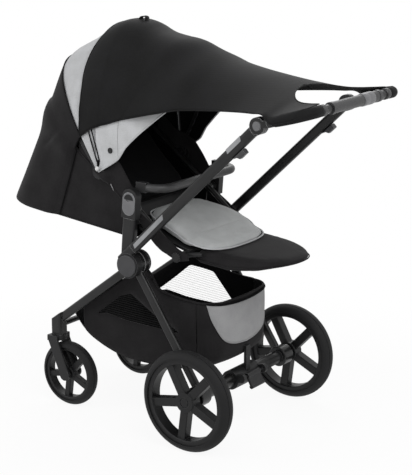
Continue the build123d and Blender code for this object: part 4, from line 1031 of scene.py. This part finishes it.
# Pads: a crowned base mesh, swollen by cloth pressure, then piped
pads = {
    "voxel": 5.0, "pressure": 4.0, "frames": 20, "cap": 4.0, "tongueCap": 2.0, "backCap": 6.0, "quality": 5,
    "stiffness": 12, "bending": 0.6,
    # rings of the base mesh: share of the outline, share of the height
    "rings": [(0.955, 0.0), (0.99, 0.12), (1.0, 0.32), (0.985, 0.6), (0.95, 0.8), (0.86, 0.93), (0.62, 0.985),
              (0.3, 1.0)],
}


def padMesh(name, outline, lowPlane, thickness, material):
    # outline in (x, l); lowPlane gives a point from (x, l, h)
    rings = []
    centre = np.array(outline).mean(0)
    for share, height in pads["rings"]:
        rings.append([lowPlane(*(centre + (np.array(p) - centre) * share), thickness * height) for p in outline])
    count = len(outline)
    verts = [p for ring in rings for p in ring]
    faces = gridFaces(len(rings), count, 0, True)
    bottom = len(verts)
    verts.append(lowPlane(*centre, 0.0))
    verts.append(lowPlane(*centre, thickness))
    faces += [(bottom, (k + 1) % count, k) for k in range(count)]
    top = (len(rings) - 1) * count
    faces += [(bottom + 1, top + k, top + (k + 1) % count) for k in range(count)]
    return tidyMesh(newPiece(name, verts, faces, material), 0.01)


def swell(piece, cap):
    # even voxels, then cloth under pressure that moves no point further than the cap
    remesh = piece.modifiers.new("remesh", "REMESH")
    remesh.mode = "VOXEL"
    remesh.voxel_size = pads["voxel"] / 1000
    material = piece.data.materials[0]
    settle(piece)
    before = np.array([v.co for v in piece.data.vertices])
    cloth = piece.modifiers.new("swell", "CLOTH")
    cloth.settings.use_pressure = True
    cloth.settings.uniform_pressure_force = pads["pressure"]
    cloth.settings.quality = pads["quality"]
    cloth.settings.effector_weights.gravity = 0.0
    cloth.settings.tension_stiffness = pads["stiffness"]
    cloth.settings.compression_stiffness = pads["stiffness"]
    cloth.settings.bending_stiffness = pads["bending"]
    cloth.point_cache.frame_start = 1
    cloth.point_cache.frame_end = pads["frames"]
    for step in range(1, pads["frames"] + 1):
        scene.frame_set(step)
    settle(piece)
    scene.frame_set(1)
    after = np.array([v.co for v in piece.data.vertices])
    move = after - before
    move -= move.mean(0)
    length = np.linalg.norm(move, axis=1)
    limit = cap / 1000
    move *= np.where(length > limit, limit / np.maximum(length, 1e-9), 1.0)[:, None]
    piece.data.vertices.foreach_set("co", (before + move).ravel())
    piece.data.update()
    fine = piece.modifiers.new("fine", "SUBSURF")
    fine.levels = fine.render_levels = 1
    settle(piece)
    piece.data.materials.clear()
    piece.data.materials.append(material)
    shadeSmooth(piece.data)
    return piece


def planePoint(y, z, slope):
    # a plane through (y, z), rising backwards (towards -Y) by slope degrees; l runs to +Y
    c, s = headingOf(slope)

    def at(x, l, h):
        return np.array((x, y + l * c + h * s, z - l * s + h * c))
    return at


def roundedOutline(pad, count=120):
    half, r = pad["half"], pad["corner"]
    line = [(0.0, pad["back"])]
    for centre, start in ((pad["back"] + r, -90), (pad["front"] - r, 0)):
        for t in np.linspace(start, start + 90, 9):
            c, s = headingOf(t)
            line.append((half - r + r * c, centre + r * s))
    line += [(-x, l) for x, l in reversed(line[1:])]
    line.append(line[0])
    return resample(line, count + 1)[:-1]


# one grey pad over the seat board and on over the leg rest; l runs along its under side from the leg rest's edge
seatPad = {
    "under": [(-84.0, 594.4), (30.9, 565.8), (80.0, 553.6), (104.0, 550.4), (118.0, 550.8), (134.0, 549.6),
              (166.0, 546.8), (214.0, 542.6)],
    "start": -209.7,
    "half": [(0, -205), (58, -204), (92, -199), (114, -180), (128, -145), (138, -108), (149, -66), (156, -24),
             (152, -3), (144, 14), (138, 34), (128, 54), (110, 71), (84, 82), (48, 88), (0, 90)],
    # the pad lies a little to the left in front
    "lie": [(-60, 0), (40, 13)],
    "thick": [(-205, 38), (-90, 37), (-40, 33), (-14, 28), (8, 19), (30, 13), (90, 11)],
    "welt": [(-205, 21), (-40, 19), (-10, 13), (12, 5), (30, 3), (90, 3)],
    "creaseY": 112.0, "creaseDepth": 3.2, "creaseWide": 5.0, "creaseHalf": 112.0, "creaseFade": 30,
    "bendFrom": (0.0, 0.092, 0.55), "bendTo": (0.0, 0.142, 0.55),
}
# cloth cover over the crotch strap and its buckle
strapCover = {"y": 117.8, "z": 542.0, "slope": 14.0, "half": 23.0, "back": -184.0, "front": -132.0, "corner": 18.0,
              "from": 30.0, "thick": 15.0}
tongue = {"y": 125.8, "z": 549.0, "slope": 5.0, "half": 147.0, "length": 258.0, "side": 80.0,
          # thickness along it
          "thick": [(0, 44), (110, 43), (190, 30), (258, 13)]}
# ears that carry the tongue on the leg rest pivots
ear = {"path": [(160.3, 88.8, 522), (160.3, 110, 526), (159, 132, 530), (150, 150, 531)], "radii": [9, 7.5, 7, 6.5],
       "points": 14}
backPad = {"y": -85.0, "z": 588.4, "slope": 45.0, "half": 142.0, "back": -314.0, "front": -50.0, "thick": 26.0,
           "corner": 34.0, "from": 6.0}


def pipeEdge(name, outline, place, height, radius, material, body, grow=0.0):
    loop = [place(x * (1 + grow), l, height) for x, l in outline]
    welt = tubePiece(name, loop, radius, 8, material, True)
    if body:
        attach(welt, body)
    return welt


def alongUnder():
    # a place on the seat pad from (x, l, h), h being a share of the table named
    line = smoothLine(seatPad["under"], 200)
    run = runLength(line) + seatPad["start"]
    heading = np.gradient(line, axis=0)
    heading /= np.linalg.norm(heading, axis=1)[:, None]

    def at(x, l, h):
        y, z, dy, dz = (float(np.interp(l, run, v)) for v in (line[:, 0], line[:, 1], heading[:, 0], heading[:, 1]))
        return np.array((x + float(np.interp(l, *np.array(seatPad["lie"]).T)), y - dz * h, z + dy * h))

    def level(table):
        return lambda x, l, h: at(x, l, h * float(np.interp(l, *np.array(seatPad[table]).T)))
    return level


def dressPads():
    level = alongUnder()
    outline = [tuple(p) for p in smoothLine(seatPad["half"], 80)]
    outline = resample(outline + [(-x, l) for x, l in reversed(outline[:-1])], 161)[:-1]
    piece = padMesh("seatCushion", outline, level("thick"), 1.0, "melangePolyesterGrey")
    swell(piece, pads["cap"])
    upper = np.array([v.normal.z > 0.3 for v in piece.data.vertices])
    at = np.array([v.co for v in piece.data.vertices])
    fade = np.clip((seatPad["creaseHalf"] - abs(at[:, 0]) * 1000) / seatPad["creaseFade"], 0, 1) * upper
    across = (at[:, 1] * 1000 - seatPad["creaseY"]) / seatPad["creaseWide"]
    at[:, 2] -= seatPad["creaseDepth"] / 1000 * fade * np.exp(-across ** 2)
    piece.data.vertices.foreach_set("co", at.ravel())
    piece.data.update()
    welt = pipeEdge("seatCushionPiping", outline, level("welt"), 1.0, 2.3, "melangePolyesterPale", None,
                    -0.004)
    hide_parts("seat_pad", "leg_rest_pad")
    for part in (piece, welt):
        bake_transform(part)

    place = planePoint(strapCover["y"], strapCover["z"], strapCover["slope"])
    piece = padMesh("strapCover", roundedOutline(strapCover, 60), lambda x, l, h: place(x, l, h + strapCover["from"]),
                    strapCover["thick"], "melangePolyesterGrey")
    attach(piece, "stroller_frame")
    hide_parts("harness_buckle")

    # padded tongue of the leg rest
    place = planePoint(tongue["y"], tongue["z"], tongue["slope"])
    half, length, straight = tongue["half"], tongue["length"], tongue["side"]
    line = [(0.0, 2.0), (half - 8, 2.0), (half, 10.0), (half, straight * 0.6), (half, straight)]
    for t in np.linspace(0, 90, 22)[1:]:
        c, s = headingOf(t)
        line.append((half * c ** 0.92, straight + (length - straight) * s))
    line += [(-x, l) for x, l in reversed(line[1:-1])] + [(0.0, 2.0)]
    outline = resample(line, 141)[:-1]

    def underTop(x, l, h):
        # h is a share of the thickness there, 1 at the top
        return place(x, l, (h - 1) * float(np.interp(l, *np.array(tongue["thick"]).T)) - 2.0)

    piece = padMesh("legRestTongue", outline, underTop, 1.0, "wovenPolyesterBlack")
    swell(piece, pads["tongueCap"])
    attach(piece, "leg_support")
    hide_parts("leg_rest")
    pipeEdge("legRestPiping", outline, underTop, 0.25, 1.8, "wovenPolyesterBlack", "leg_support",
             -0.012)
    radii = np.interp(np.linspace(0, 1, ear["points"]), np.linspace(0, 1, len(ear["radii"])), ear["radii"])
    for sign, sideName in bothSides:
        line = [(sign * x, y, z) for x, y, z in smoothLine(ear["path"], ear["points"])]
        arm = tubePiece("legRestEar" + sideName, line, radii, 12, "mouldedNylon")
        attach(arm, "leg_support")

    place = planePoint(backPad["y"], backPad["z"], backPad["slope"])
    outline = roundedOutline(backPad)
    piece = padMesh("backCushion", outline, lambda x, l, h: place(x, l, h + backPad["from"]), backPad["thick"],
                    "wovenPolyesterLining")
    swell(piece, pads["backCap"])
    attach(piece, "backrest")
    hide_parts("backrest_pad")
    pipeEdge("backCushionPiping", outline, place, 14.0, 2.0, "wovenPolyesterLining", "backrest", 0.012)
    print("pads dressed")


dressPads()


# Basket: a lofted shell that sags between its edges, net windows in both sides, a grey pocket on the bowed rear wall
basket = {
    "half": 147.0, "cloth": 2.4, "sag": 7.0, "bulge": 3.0, "rearBow": 18.0, "bowHalf": 150.0, "corner": 50.0,
    "hubY": -44.2, "binding": 3.0, "rearTop": 388.0, "bowFrom": 60.0, "bowRun": 120.0, "sagBelow": 300,
    "bellyTop": 241.0,
    "low": [(195.8, 388.0), (195.8, 330.0), (195.8, 240.0), (168.0, 206.0), (113.8, 187.0), (0.0, 177.0),
            (-136.2, 181.0), (-255.2, 222.0), (-321.2, 288.0)],
    "top": [(-321.2, 288.0), (-190.0, 376.0), (-60.2, 462.0), (-0.2, 408.0), (40.0, 397.0), (83.8, 391.0),
            (130.0, 389.0), (196.0, 388.0)],
    "hanger": [(147.5, 424), (150.0, 442), (165.0, 462), (169.0, 472), (169.5, 492)],
}
# the sides' columns behind, along and ahead of the net window, and their rows below, in and above it
sideGrid = {"columns": (12, 40, 12), "rows": (7, 9, 5)}
netWindow = {
    "high": [(-222, 300), (-160, 348), (-102, 396), (-60, 393), (-17, 388), (15, 352), (50, 311), (66, 292)],
    "low": [(-222, 298), (-205, 304), (-165, 299), (-121, 293), (-75, 291), (-27, 290), (66, 286)],
    # threads: heights they start between at y = 0, pitch, rise along y, radius
    "starts": (240.0, 500.0), "pitch": 5.6, "rise": 0.36, "thread": 0.34,
    # the left side's window is lower at the rear
    "lower": [(-140, 0), (-102, 20), (-60, 40), (-17, 60), (15, 34), (66, 0)],
}
pocket = {
    "half": 140.0, "low": 252.0, "top": 386.0, "dip": 9.0, "full": 4.0, "off": 3.0, "cloth": 1.6, "binding": 3.0,
    "seam": 1.2,
    # half outline under the mouth: share of the half width, share of the height
    "curve": [(0.0, 0.0), (0.42, 0.05), (0.74, 0.21), (0.93, 0.60), (1.0, 0.985)],
}


def cornerIn(x):
    # how far the rear wall is drawn forward in its rounded corners
    inside = max(0.0, abs(x) - (basket["half"] - basket["corner"]))
    return basket["corner"] - math.sqrt(max(0.0, basket["corner"] ** 2 - inside ** 2))


def rearY(x):
    return basket["low"][0][0] - basket["rearBow"] * (x / basket["bowHalf"]) ** 2 - cornerIn(x)


def basketTop(y):
    return float(np.interp(y, *np.array(basket["top"]).T))


def windowSpan(y, sign):
    low, high, lower = (float(np.interp(y, *np.array(netWindow[k]).T)) for k in ("low", "high", "lower"))
    return low, max(low + 3, high - lower) if sign > 0 else high


def basketSide(edge, sign):
    # columns along the side, rows from the belly to the bound edge; the window is left open
    first, last = netWindow["high"][0][0], netWindow["high"][-1][0]
    behind, along, ahead = sideGrid["columns"]
    below, within, above = sideGrid["rows"]
    columns = np.concatenate([np.linspace(edge[0][1], last, behind), np.linspace(last, first, along)[1:],
                              np.linspace(first, edge[-1][1], ahead)[1:]])
    order = np.argsort(edge[:, 1])
    points = []
    for y in columns:
        lowZ = float(np.interp(y, edge[order, 1], edge[order, 2]))
        topZ = max(basketTop(y), lowZ + 0.5)
        windowLow, windowHigh = windowSpan(y, sign)
        windowLow = min(max(windowLow, lowZ + 0.2 * (topZ - lowZ)), lowZ + 0.6 * (topZ - lowZ))
        windowHigh = min(max(windowHigh, windowLow + 1.0), topZ - 0.1 * (topZ - lowZ))
        heights = np.concatenate([np.linspace(lowZ, windowLow, below),
                                  np.linspace(windowLow, windowHigh, within)[1:],
                                  np.linspace(windowHigh, topZ, above)[1:]])
        for z in heights:
            v = (z - lowZ) / (topZ - lowZ)
            out = basket["bulge"] * math.sin(math.pi * v) + 0.8 * math.sin(y * 0.03 + v * 3)
            points.append((sign * (basket["half"] + out), y, z))
    rows = len(heights)
    faces = []
    for number, quad in enumerate(gridFaces(len(columns), rows)):
        column, row = divmod(number, rows - 1)
        if not (0 <= column - behind + 1 < along - 1 and 0 <= row - below + 1 < within - 1):
            faces.append(quad)
    return points, faces


def threadTree():
    # drawn lines become round threads
    tree, sockets, source = newTree("netThreads", [("Radius", "Float"), ("Yarn", "Material")])
    line = addNode(tree, "GeometryNodeMeshToCurve", None, {0: source["Geometry"]})
    ring = addNode(tree, "GeometryNodeCurvePrimitiveCircle", {"Resolution": 5}, {"Radius": source["Radius"]})
    thread = addNode(tree, "GeometryNodeCurveToMesh", None,
                     {"Curve": line.outputs[0], "Profile Curve": ring.outputs[0]})
    endTree(tree, thread.outputs[0], source["Yarn"])
    return tree, sockets


def netLines(sign):
    # threads rise towards the rear
    first, last = netWindow["high"][0][0], netWindow["high"][-1][0]
    along = np.linspace(first, last, 145)
    lines = []
    for start in np.arange(*netWindow["starts"], netWindow["pitch"]):
        inside = [(y, start + netWindow["rise"] * y) for y in along
                  if windowSpan(y, sign)[0] - 1 <= start + netWindow["rise"] * y <= windowSpan(y, sign)[1] + 1]
        if len(inside) > 2:
            lines.append(resample(inside, 24))
    return [[(sign * (basket["half"] + basket["bulge"] * 0.8), y, z) for y, z in line] for line in lines]


def dressBasket():
    low = smoothLine(basket["low"], 90)
    across = 45
    strip = []
    for y, z in low:
        back = min(1.0, max(0.0, (y - basket["bowFrom"]) / basket["bowRun"]))
        for u in np.linspace(-1, 1, across):
            x = basket["half"] * u
            droop = basket["sag"] * (1 - u * u) if z < basket["sagBelow"] else 0.0
            strip.append((x, y - (basket["rearBow"] * (x / basket["bowHalf"]) ** 2 + cornerIn(x)) * back, z - droop))
    strip = np.array(strip)
    edge = strip[across - 1::across]
    below = edge[edge[:, 2] <= basket["bellyTop"]]
    groups = [(strip, gridFaces(len(low), across))]
    groups += [basketSide(np.vstack([[below[0]], below]), sign) for sign in (1, -1)]
    shell = newPiece("basketShell", *joinMeshes(groups), ["wovenPolyesterBlack", "wovenPolyesterLining"])
    tidyMesh(shell, 1.0)
    thicken(faceAway(shell, (0, -40, 320)), basket["cloth"], lining=True)
    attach(shell, "stroller_frame")
    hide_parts("basket")

    tree, sockets = threadTree()
    values = (netWindow["thread"] / 1000, finish["knittedNet"])
    for sign, sideName in bothSides:
        threads = growPiece("basketNet" + sideName, *drawnLines(netLines(sign)), tree, sockets, values)
        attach(threads, "stroller_frame")

    # bound edge, and straps up to the hubs
    topLine = smoothLine(basket["top"][:-1], 70)
    topLine = topLine[topLine[:, 0] < rearY(basket["half"])]
    loop = [(basket["half"] + 1, y, z) for y, z in topLine]
    wall = basket["half"] * np.sin(np.linspace(90, -90, 48) * math.pi / 180)
    loop += [(x, rearY(x), basket["rearTop"]) for x in wall]
    loop += [(-basket["half"] - 1, y, z) for y, z in topLine[::-1]]
    bound = [tubePiece("basketBinding", loop, basket["binding"], 8, "wovenPolyesterBlack")]
    for sign, sideName in bothSides:
        line = smoothLine(basket["hanger"], 24)
        verts = [(sign * x, basket["hubY"] + w, z) for x, z in line for w in (-14.0, -5.0, 5.0, 14.0)]
        strap = tidyMesh(newPiece("basketHanger" + sideName, verts, gridFaces(24, 4), "wovenPolyesterBlack"), 0.01)
        bound.append(thicken(strap, basket["cloth"], 0.0))
    for piece in bound:
        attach(piece, "stroller_frame")

    # grey pocket: a slightly full patch with a bound mouth that dips in the middle
    rows, shares = 18, np.sin(np.linspace(-90, 90, 45) * math.pi / 180)
    curve = smoothLine(pocket["curve"], 60)
    tall = pocket["top"] - pocket["low"]
    patch = []
    for v in np.linspace(0, 1, rows):
        for u in shares:
            lowZ = pocket["low"] + tall * float(np.interp(abs(u), curve[:, 0], curve[:, 1]))
            highZ = pocket["top"] - pocket["dip"] * (1 - u * u)
            full = pocket["full"] * (1 - u ** 4) * math.sin(math.pi * (0.12 + 0.8 * v))
            x = pocket["half"] * u
            patch.append((x, rearY(x) + pocket["off"] + full, lowZ + max(highZ - lowZ, 0.5) * v))
    patch = np.array(patch)
    columns = len(shares)
    sheet = tidyMesh(newPiece("basketPatch", patch, gridFaces(rows, columns), "melangePolyesterPocket"), 0.01)
    thicken(faceAway(sheet, (0, -200, 320)), pocket["cloth"])
    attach(sheet, "stroller_frame")
    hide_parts("basket_pocket")
    mouth = tubePiece("pocketBinding", patch[(rows - 1) * columns:], pocket["binding"], 8, "wovenPolyesterLining")
    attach(mouth, "stroller_frame")
    seam = tubePiece("pocketSeam", patch[:columns], pocket["seam"], 8, "melangePolyesterPocket")
    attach(seam, "stroller_frame")
    print("basket dressed")


dressBasket()


# Small hard details, placed from the CAD nodes' boxes
detail = {
    "lean": 4.5, "releaseRim": 0.8, "scoopStart": 0.06, "scoopIn": 3.5, "scoopThick": 0.8, "tubeAngle": 43.3,
    # plain strips on the push tubes: start and end along the tube in the side view, and how far the ends are cut back
    "stripWide": 12.0, "stripThick": 0.8, "startCut": 4, "endCut": 8,
    "strips": [((-21.0, 546.0), (83.0, 648.0)), ((288.0, 848.0), (335.0, 892.0))],
    "knobRibs": 14, "ribSize": (7.0, 1.8, 1.8), "gripStitch": 6.0, "releaseSlot": (39.0, 63.0),
    # grip cover's ends beyond the opening, and the clip round the bar: x, radius
    "gripEnds": (160, 176), "gripRadius": 15.5,
    "clip": [(-32, 15.6), (-33, 17.0), (-38, 17.6), (-58, 17.4), (-60, 16.8), (-62, 17.4), (-82, 17.6), (-87, 17.0),
             (-88, 15.6)],
}


def boxOf(node):
    low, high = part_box(node)
    return np.array(low) * 1000, np.array(high) * 1000


def slotLine(centre, wide, tall, x, grow, count=72):
    # upright slot outline, leaning with the seat posts
    radius = wide / 2 + grow
    straight = tall / 2 + grow - radius
    c, s = headingOf(-detail["lean"])
    points = []
    for a in np.linspace(0, 360, count, endpoint=False):
        ca, sa = headingOf(a)
        u, w = radius * ca, radius * sa + math.copysign(straight, sa)
        points.append((x, centre[0] + u * c - w * s, centre[1] + u * s + w * c))
    return points


def ribTree():
    # a bar on every point of a drawn ring
    tree, sockets, source = newTree("knobRibs", [("Size", "Vector"), ("Finish", "Material")])
    rib = addNode(tree, "GeometryNodeMeshCube", None, {"Size": source["Size"]})
    ribs = addNode(tree, "GeometryNodeInstanceOnPoints", None,
                   {"Points": source["Geometry"], "Instance": rib.outputs["Mesh"]})
    endTree(tree, ribs.outputs[0], source["Finish"])
    return tree, sockets


def dressDetails():
    tree, sockets = ribTree()
    knobLow, knobHigh = boxOf("leg_rest_knobs")
    knobMid = (knobLow + knobHigh) / 2
    knobRadius = (knobHigh[1] - knobLow[1]) / 2
    adaptorFace = boxOf("seat_adaptors")[1][0]
    tubeFace = boxOf("push_tube_left")[1][0]
    for sign, sideName in bothSides:
        low, high = boxOf("seat_release_button_left")
        centre = ((low[1] + high[1]) / 2, (low[2] + high[2]) / 2)
        (wide, tall), face = detail["releaseSlot"], high[0]
        rimLine = [(sign * x, y, z) for x, y, z in slotLine(centre, wide, tall, adaptorFace + 0.2, 1.0)]
        ring = tubePiece("releaseRim" + sideName, rimLine, detail["releaseRim"], 8, "satinAnodised", True)
        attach(ring, "stroller_frame")
        # dark finger scoop on the upper part of the button
        line = np.array(slotLine(centre, wide, tall, face + 0.25, -detail["scoopIn"]))
        upper = line[line[:, 2] > centre[1] + tall * detail["scoopStart"]]
        upper = upper[np.argsort(np.arctan2(upper[:, 2] - centre[1] - tall * 0.25, upper[:, 1] - centre[0]))]
        verts = [(sign * (x + d), y, z) for d in (0.0, -detail["scoopThick"]) for x, y, z in upper]
        n = len(upper)
        faces = [tuple(range(n)), tuple(range(2 * n - 1, n - 1, -1))]
        faces += [(k, (k + 1) % n, n + (k + 1) % n, n + k) for k in range(n)]
        scoop = tidyMesh(newPiece("releaseScoop" + sideName, verts, faces, "rimPolypropylene", False), 0.001)
        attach(scoop, "release_left" if sign > 0 else "release_right")

        # plain strips on the push tubes, ends cut along the tube's slope
        c, s = headingOf(detail["tubeAngle"])
        groups = []
        for (y0, z0), (y1, z1) in detail["strips"]:
            half, cut, back = detail["stripWide"] / 2, detail["startCut"], detail["endCut"]
            corners = [(y0 - s * half + c * cut, z0 + c * half + s * cut), (y0 + s * half, z0 - c * half),
                       (y1 + s * half - c * back, z1 - c * half - s * back), (y1 - s * half, z1 + c * half)]
            verts = [(sign * (tubeFace + d), y, z) for d in (-0.4, detail["stripThick"]) for y, z in corners]
            faces = [(0, 1, 2, 3), (7, 6, 5, 4)] + [(k, (k + 1) % 4, 4 + (k + 1) % 4, 4 + k) for k in range(4)]
            groups.append((verts, faces))
        strip = tidyMesh(newPiece("tubeStrip" + sideName, *joinMeshes(groups), "satinAnodised", False), 0.001)
        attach(strip, "stroller_frame")

        # ribs round the leg rest knobs
        ring = []
        for a in np.linspace(0, 360, detail["knobRibs"], endpoint=False):
            ca, sa = headingOf(a)
            ring.append(mm(sign * (knobHigh[0] - 5.0), knobMid[1] + knobRadius * ca, knobMid[2] + knobRadius * sa))
        values = (mm(*detail["ribSize"]), finish["mouldedNylon"])
        ribs = growPiece("knobRibs" + sideName, ring, [], tree, sockets, values)
        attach(ribs, "stroller_frame")

    # grip cover's ends under the sail's corners, and the clip round the bar
    barY, barZ = sail["barY"], sail["barZ"]
    groups = [tubeAlong([(sign * x, barY, barZ) for x in np.linspace(*detail["gripEnds"], 5)], detail["gripRadius"], 24)
              for sign in (1, -1)]
    ends = newPiece("gripEnds", *joinMeshes(groups), "grainedLeatherette")
    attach(ends, "handle")
    clipX, clipRadii = zip(*detail["clip"])
    clip = tubePiece("gripClip", [(x, barY, barZ) for x in clipX], clipRadii, 28, "greyAbs")
    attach(clip, "handle")

    # seam of the grip's cover, under the bar
    gripLow, gripHigh = boxOf("handle_grip")
    mid = (gripLow + gripHigh) / 2
    radius = (gripHigh[2] - gripLow[2]) / 2 + 0.2
    c, s = headingOf(-60)
    line = [(x, mid[1] + radius * c, mid[2] + radius * s) for x in np.linspace(gripLow[0] + 3, gripHigh[0] - 3, 80)]
    sewn = stitchLine("gripStitches", [line], detail["gripStitch"], 0.5, "satinPolyamide")
    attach(sewn, "handle")
    print("details dressed")


dressDetails()


# Studio: white floor that runs into a white surround, soft lamps. Metres here.
studio = {"floorHalf": 6.0, "worldLight": 0.5, "floorWhite": 0.92, "whiteFrom": 0.7, "whiteTo": 1.3, "aim": (0, 0, 0.5),
          "lamps": [("keyLamp", (1.6, 2.6, 3.4), 2.4, 62), ("fillLamp", (3.2, -2.2, 2.6), 2.6, 34),
                    ("backLamp", (-2.8, -1.6, 2.8), 2.4, 34)]}


def seenRay(tree):
    # what the camera sees, directly or in a gloss
    path = addNode(tree, "ShaderNodeLightPath")
    seen = path.outputs["Is Camera Ray"]
    for other in ("Is Glossy Ray", "Is Transmission Ray"):
        seen = addNode(tree, "ShaderNodeMath", {"operation": "MAXIMUM"}, {0: seen, 1: path.outputs[other]}).outputs[0]
    return seen


def makeStudio():
    mesh = bpy.data.meshes.new("floor")
    h = studio["floorHalf"]
    mesh.from_pydata([(-h, -h, 0), (h, -h, 0), (h, h, 0), (-h, h, 0)], [], [(0, 1, 2, 3)])
    floor = bpy.data.objects.new("floor", mesh)
    scene.collection.objects.link(floor)
    # white paper roll, overexposed in the picture as in a catalogue, more so away from the wheels
    material, tree, shader, place = newMaterial("whitePaperRoll", {"Roughness": 0.9, "Specular IOR Level": 0.1})
    grain = addNode(tree, "ShaderNodeTexNoise", {"Scale": 40.0}, {"Vector": place})
    tree.links.new(rampOf(tree, grain.outputs["Fac"], "#fbfbfb", "#ffffff"), shader.inputs["Base Color"])
    reach = addNode(tree, "ShaderNodeVectorMath", {"operation": "LENGTH"}, {0: place})
    white = addNode(tree, "ShaderNodeMapRange", {"From Min": studio["whiteFrom"], "From Max": studio["whiteTo"],
                                                 "To Min": studio["floorWhite"], "To Max": 1.0},
                    {"Value": reach.outputs["Value"]})
    share = addNode(tree, "ShaderNodeMath", {"operation": "MULTIPLY"}, {0: seenRay(tree), 1: white.outputs["Result"]})
    glow = addNode(tree, "ShaderNodeEmission", {"Color": (1, 1, 1, 1), "Strength": 1.0})
    mixed = addNode(tree, "ShaderNodeMixShader", None,
                    {"Fac": share.outputs[0], 1: shader.outputs[0], 2: glow.outputs[0]})
    tree.links.new(mixed.outputs[0], tree.nodes["Material Output"].inputs["Surface"])
    mesh.materials.append(material)
    world = bpy.data.worlds.new("softSurround")
    world.use_nodes = True
    tree = world.node_tree
    tree.nodes.clear()
    dim = addNode(tree, "ShaderNodeBackground", {"Color": (1, 1, 1, 1), "Strength": studio["worldLight"]})
    bright = addNode(tree, "ShaderNodeBackground", {"Color": (1, 1, 1, 1), "Strength": 1.0})
    mixed = addNode(tree, "ShaderNodeMixShader", None, {"Fac": seenRay(tree), 1: dim.outputs[0], 2: bright.outputs[0]})
    addNode(tree, "ShaderNodeOutputWorld", None, {"Surface": mixed.outputs[0]})
    scene.world = world
    for name, spot, size, power in studio["lamps"]:
        lamp = bpy.data.lights.new(name, "AREA")
        lamp.size = size
        lamp.energy = power
        holder = bpy.data.objects.new(name, lamp)
        holder.location = spot
        holder.rotation_euler = (Vector(studio["aim"]) - Vector(spot)).to_track_quat("-Z", "Y").to_euler()
        scene.collection.objects.link(holder)
    scene.view_settings.view_transform = "Standard"
    print("studio set")


makeStudio()
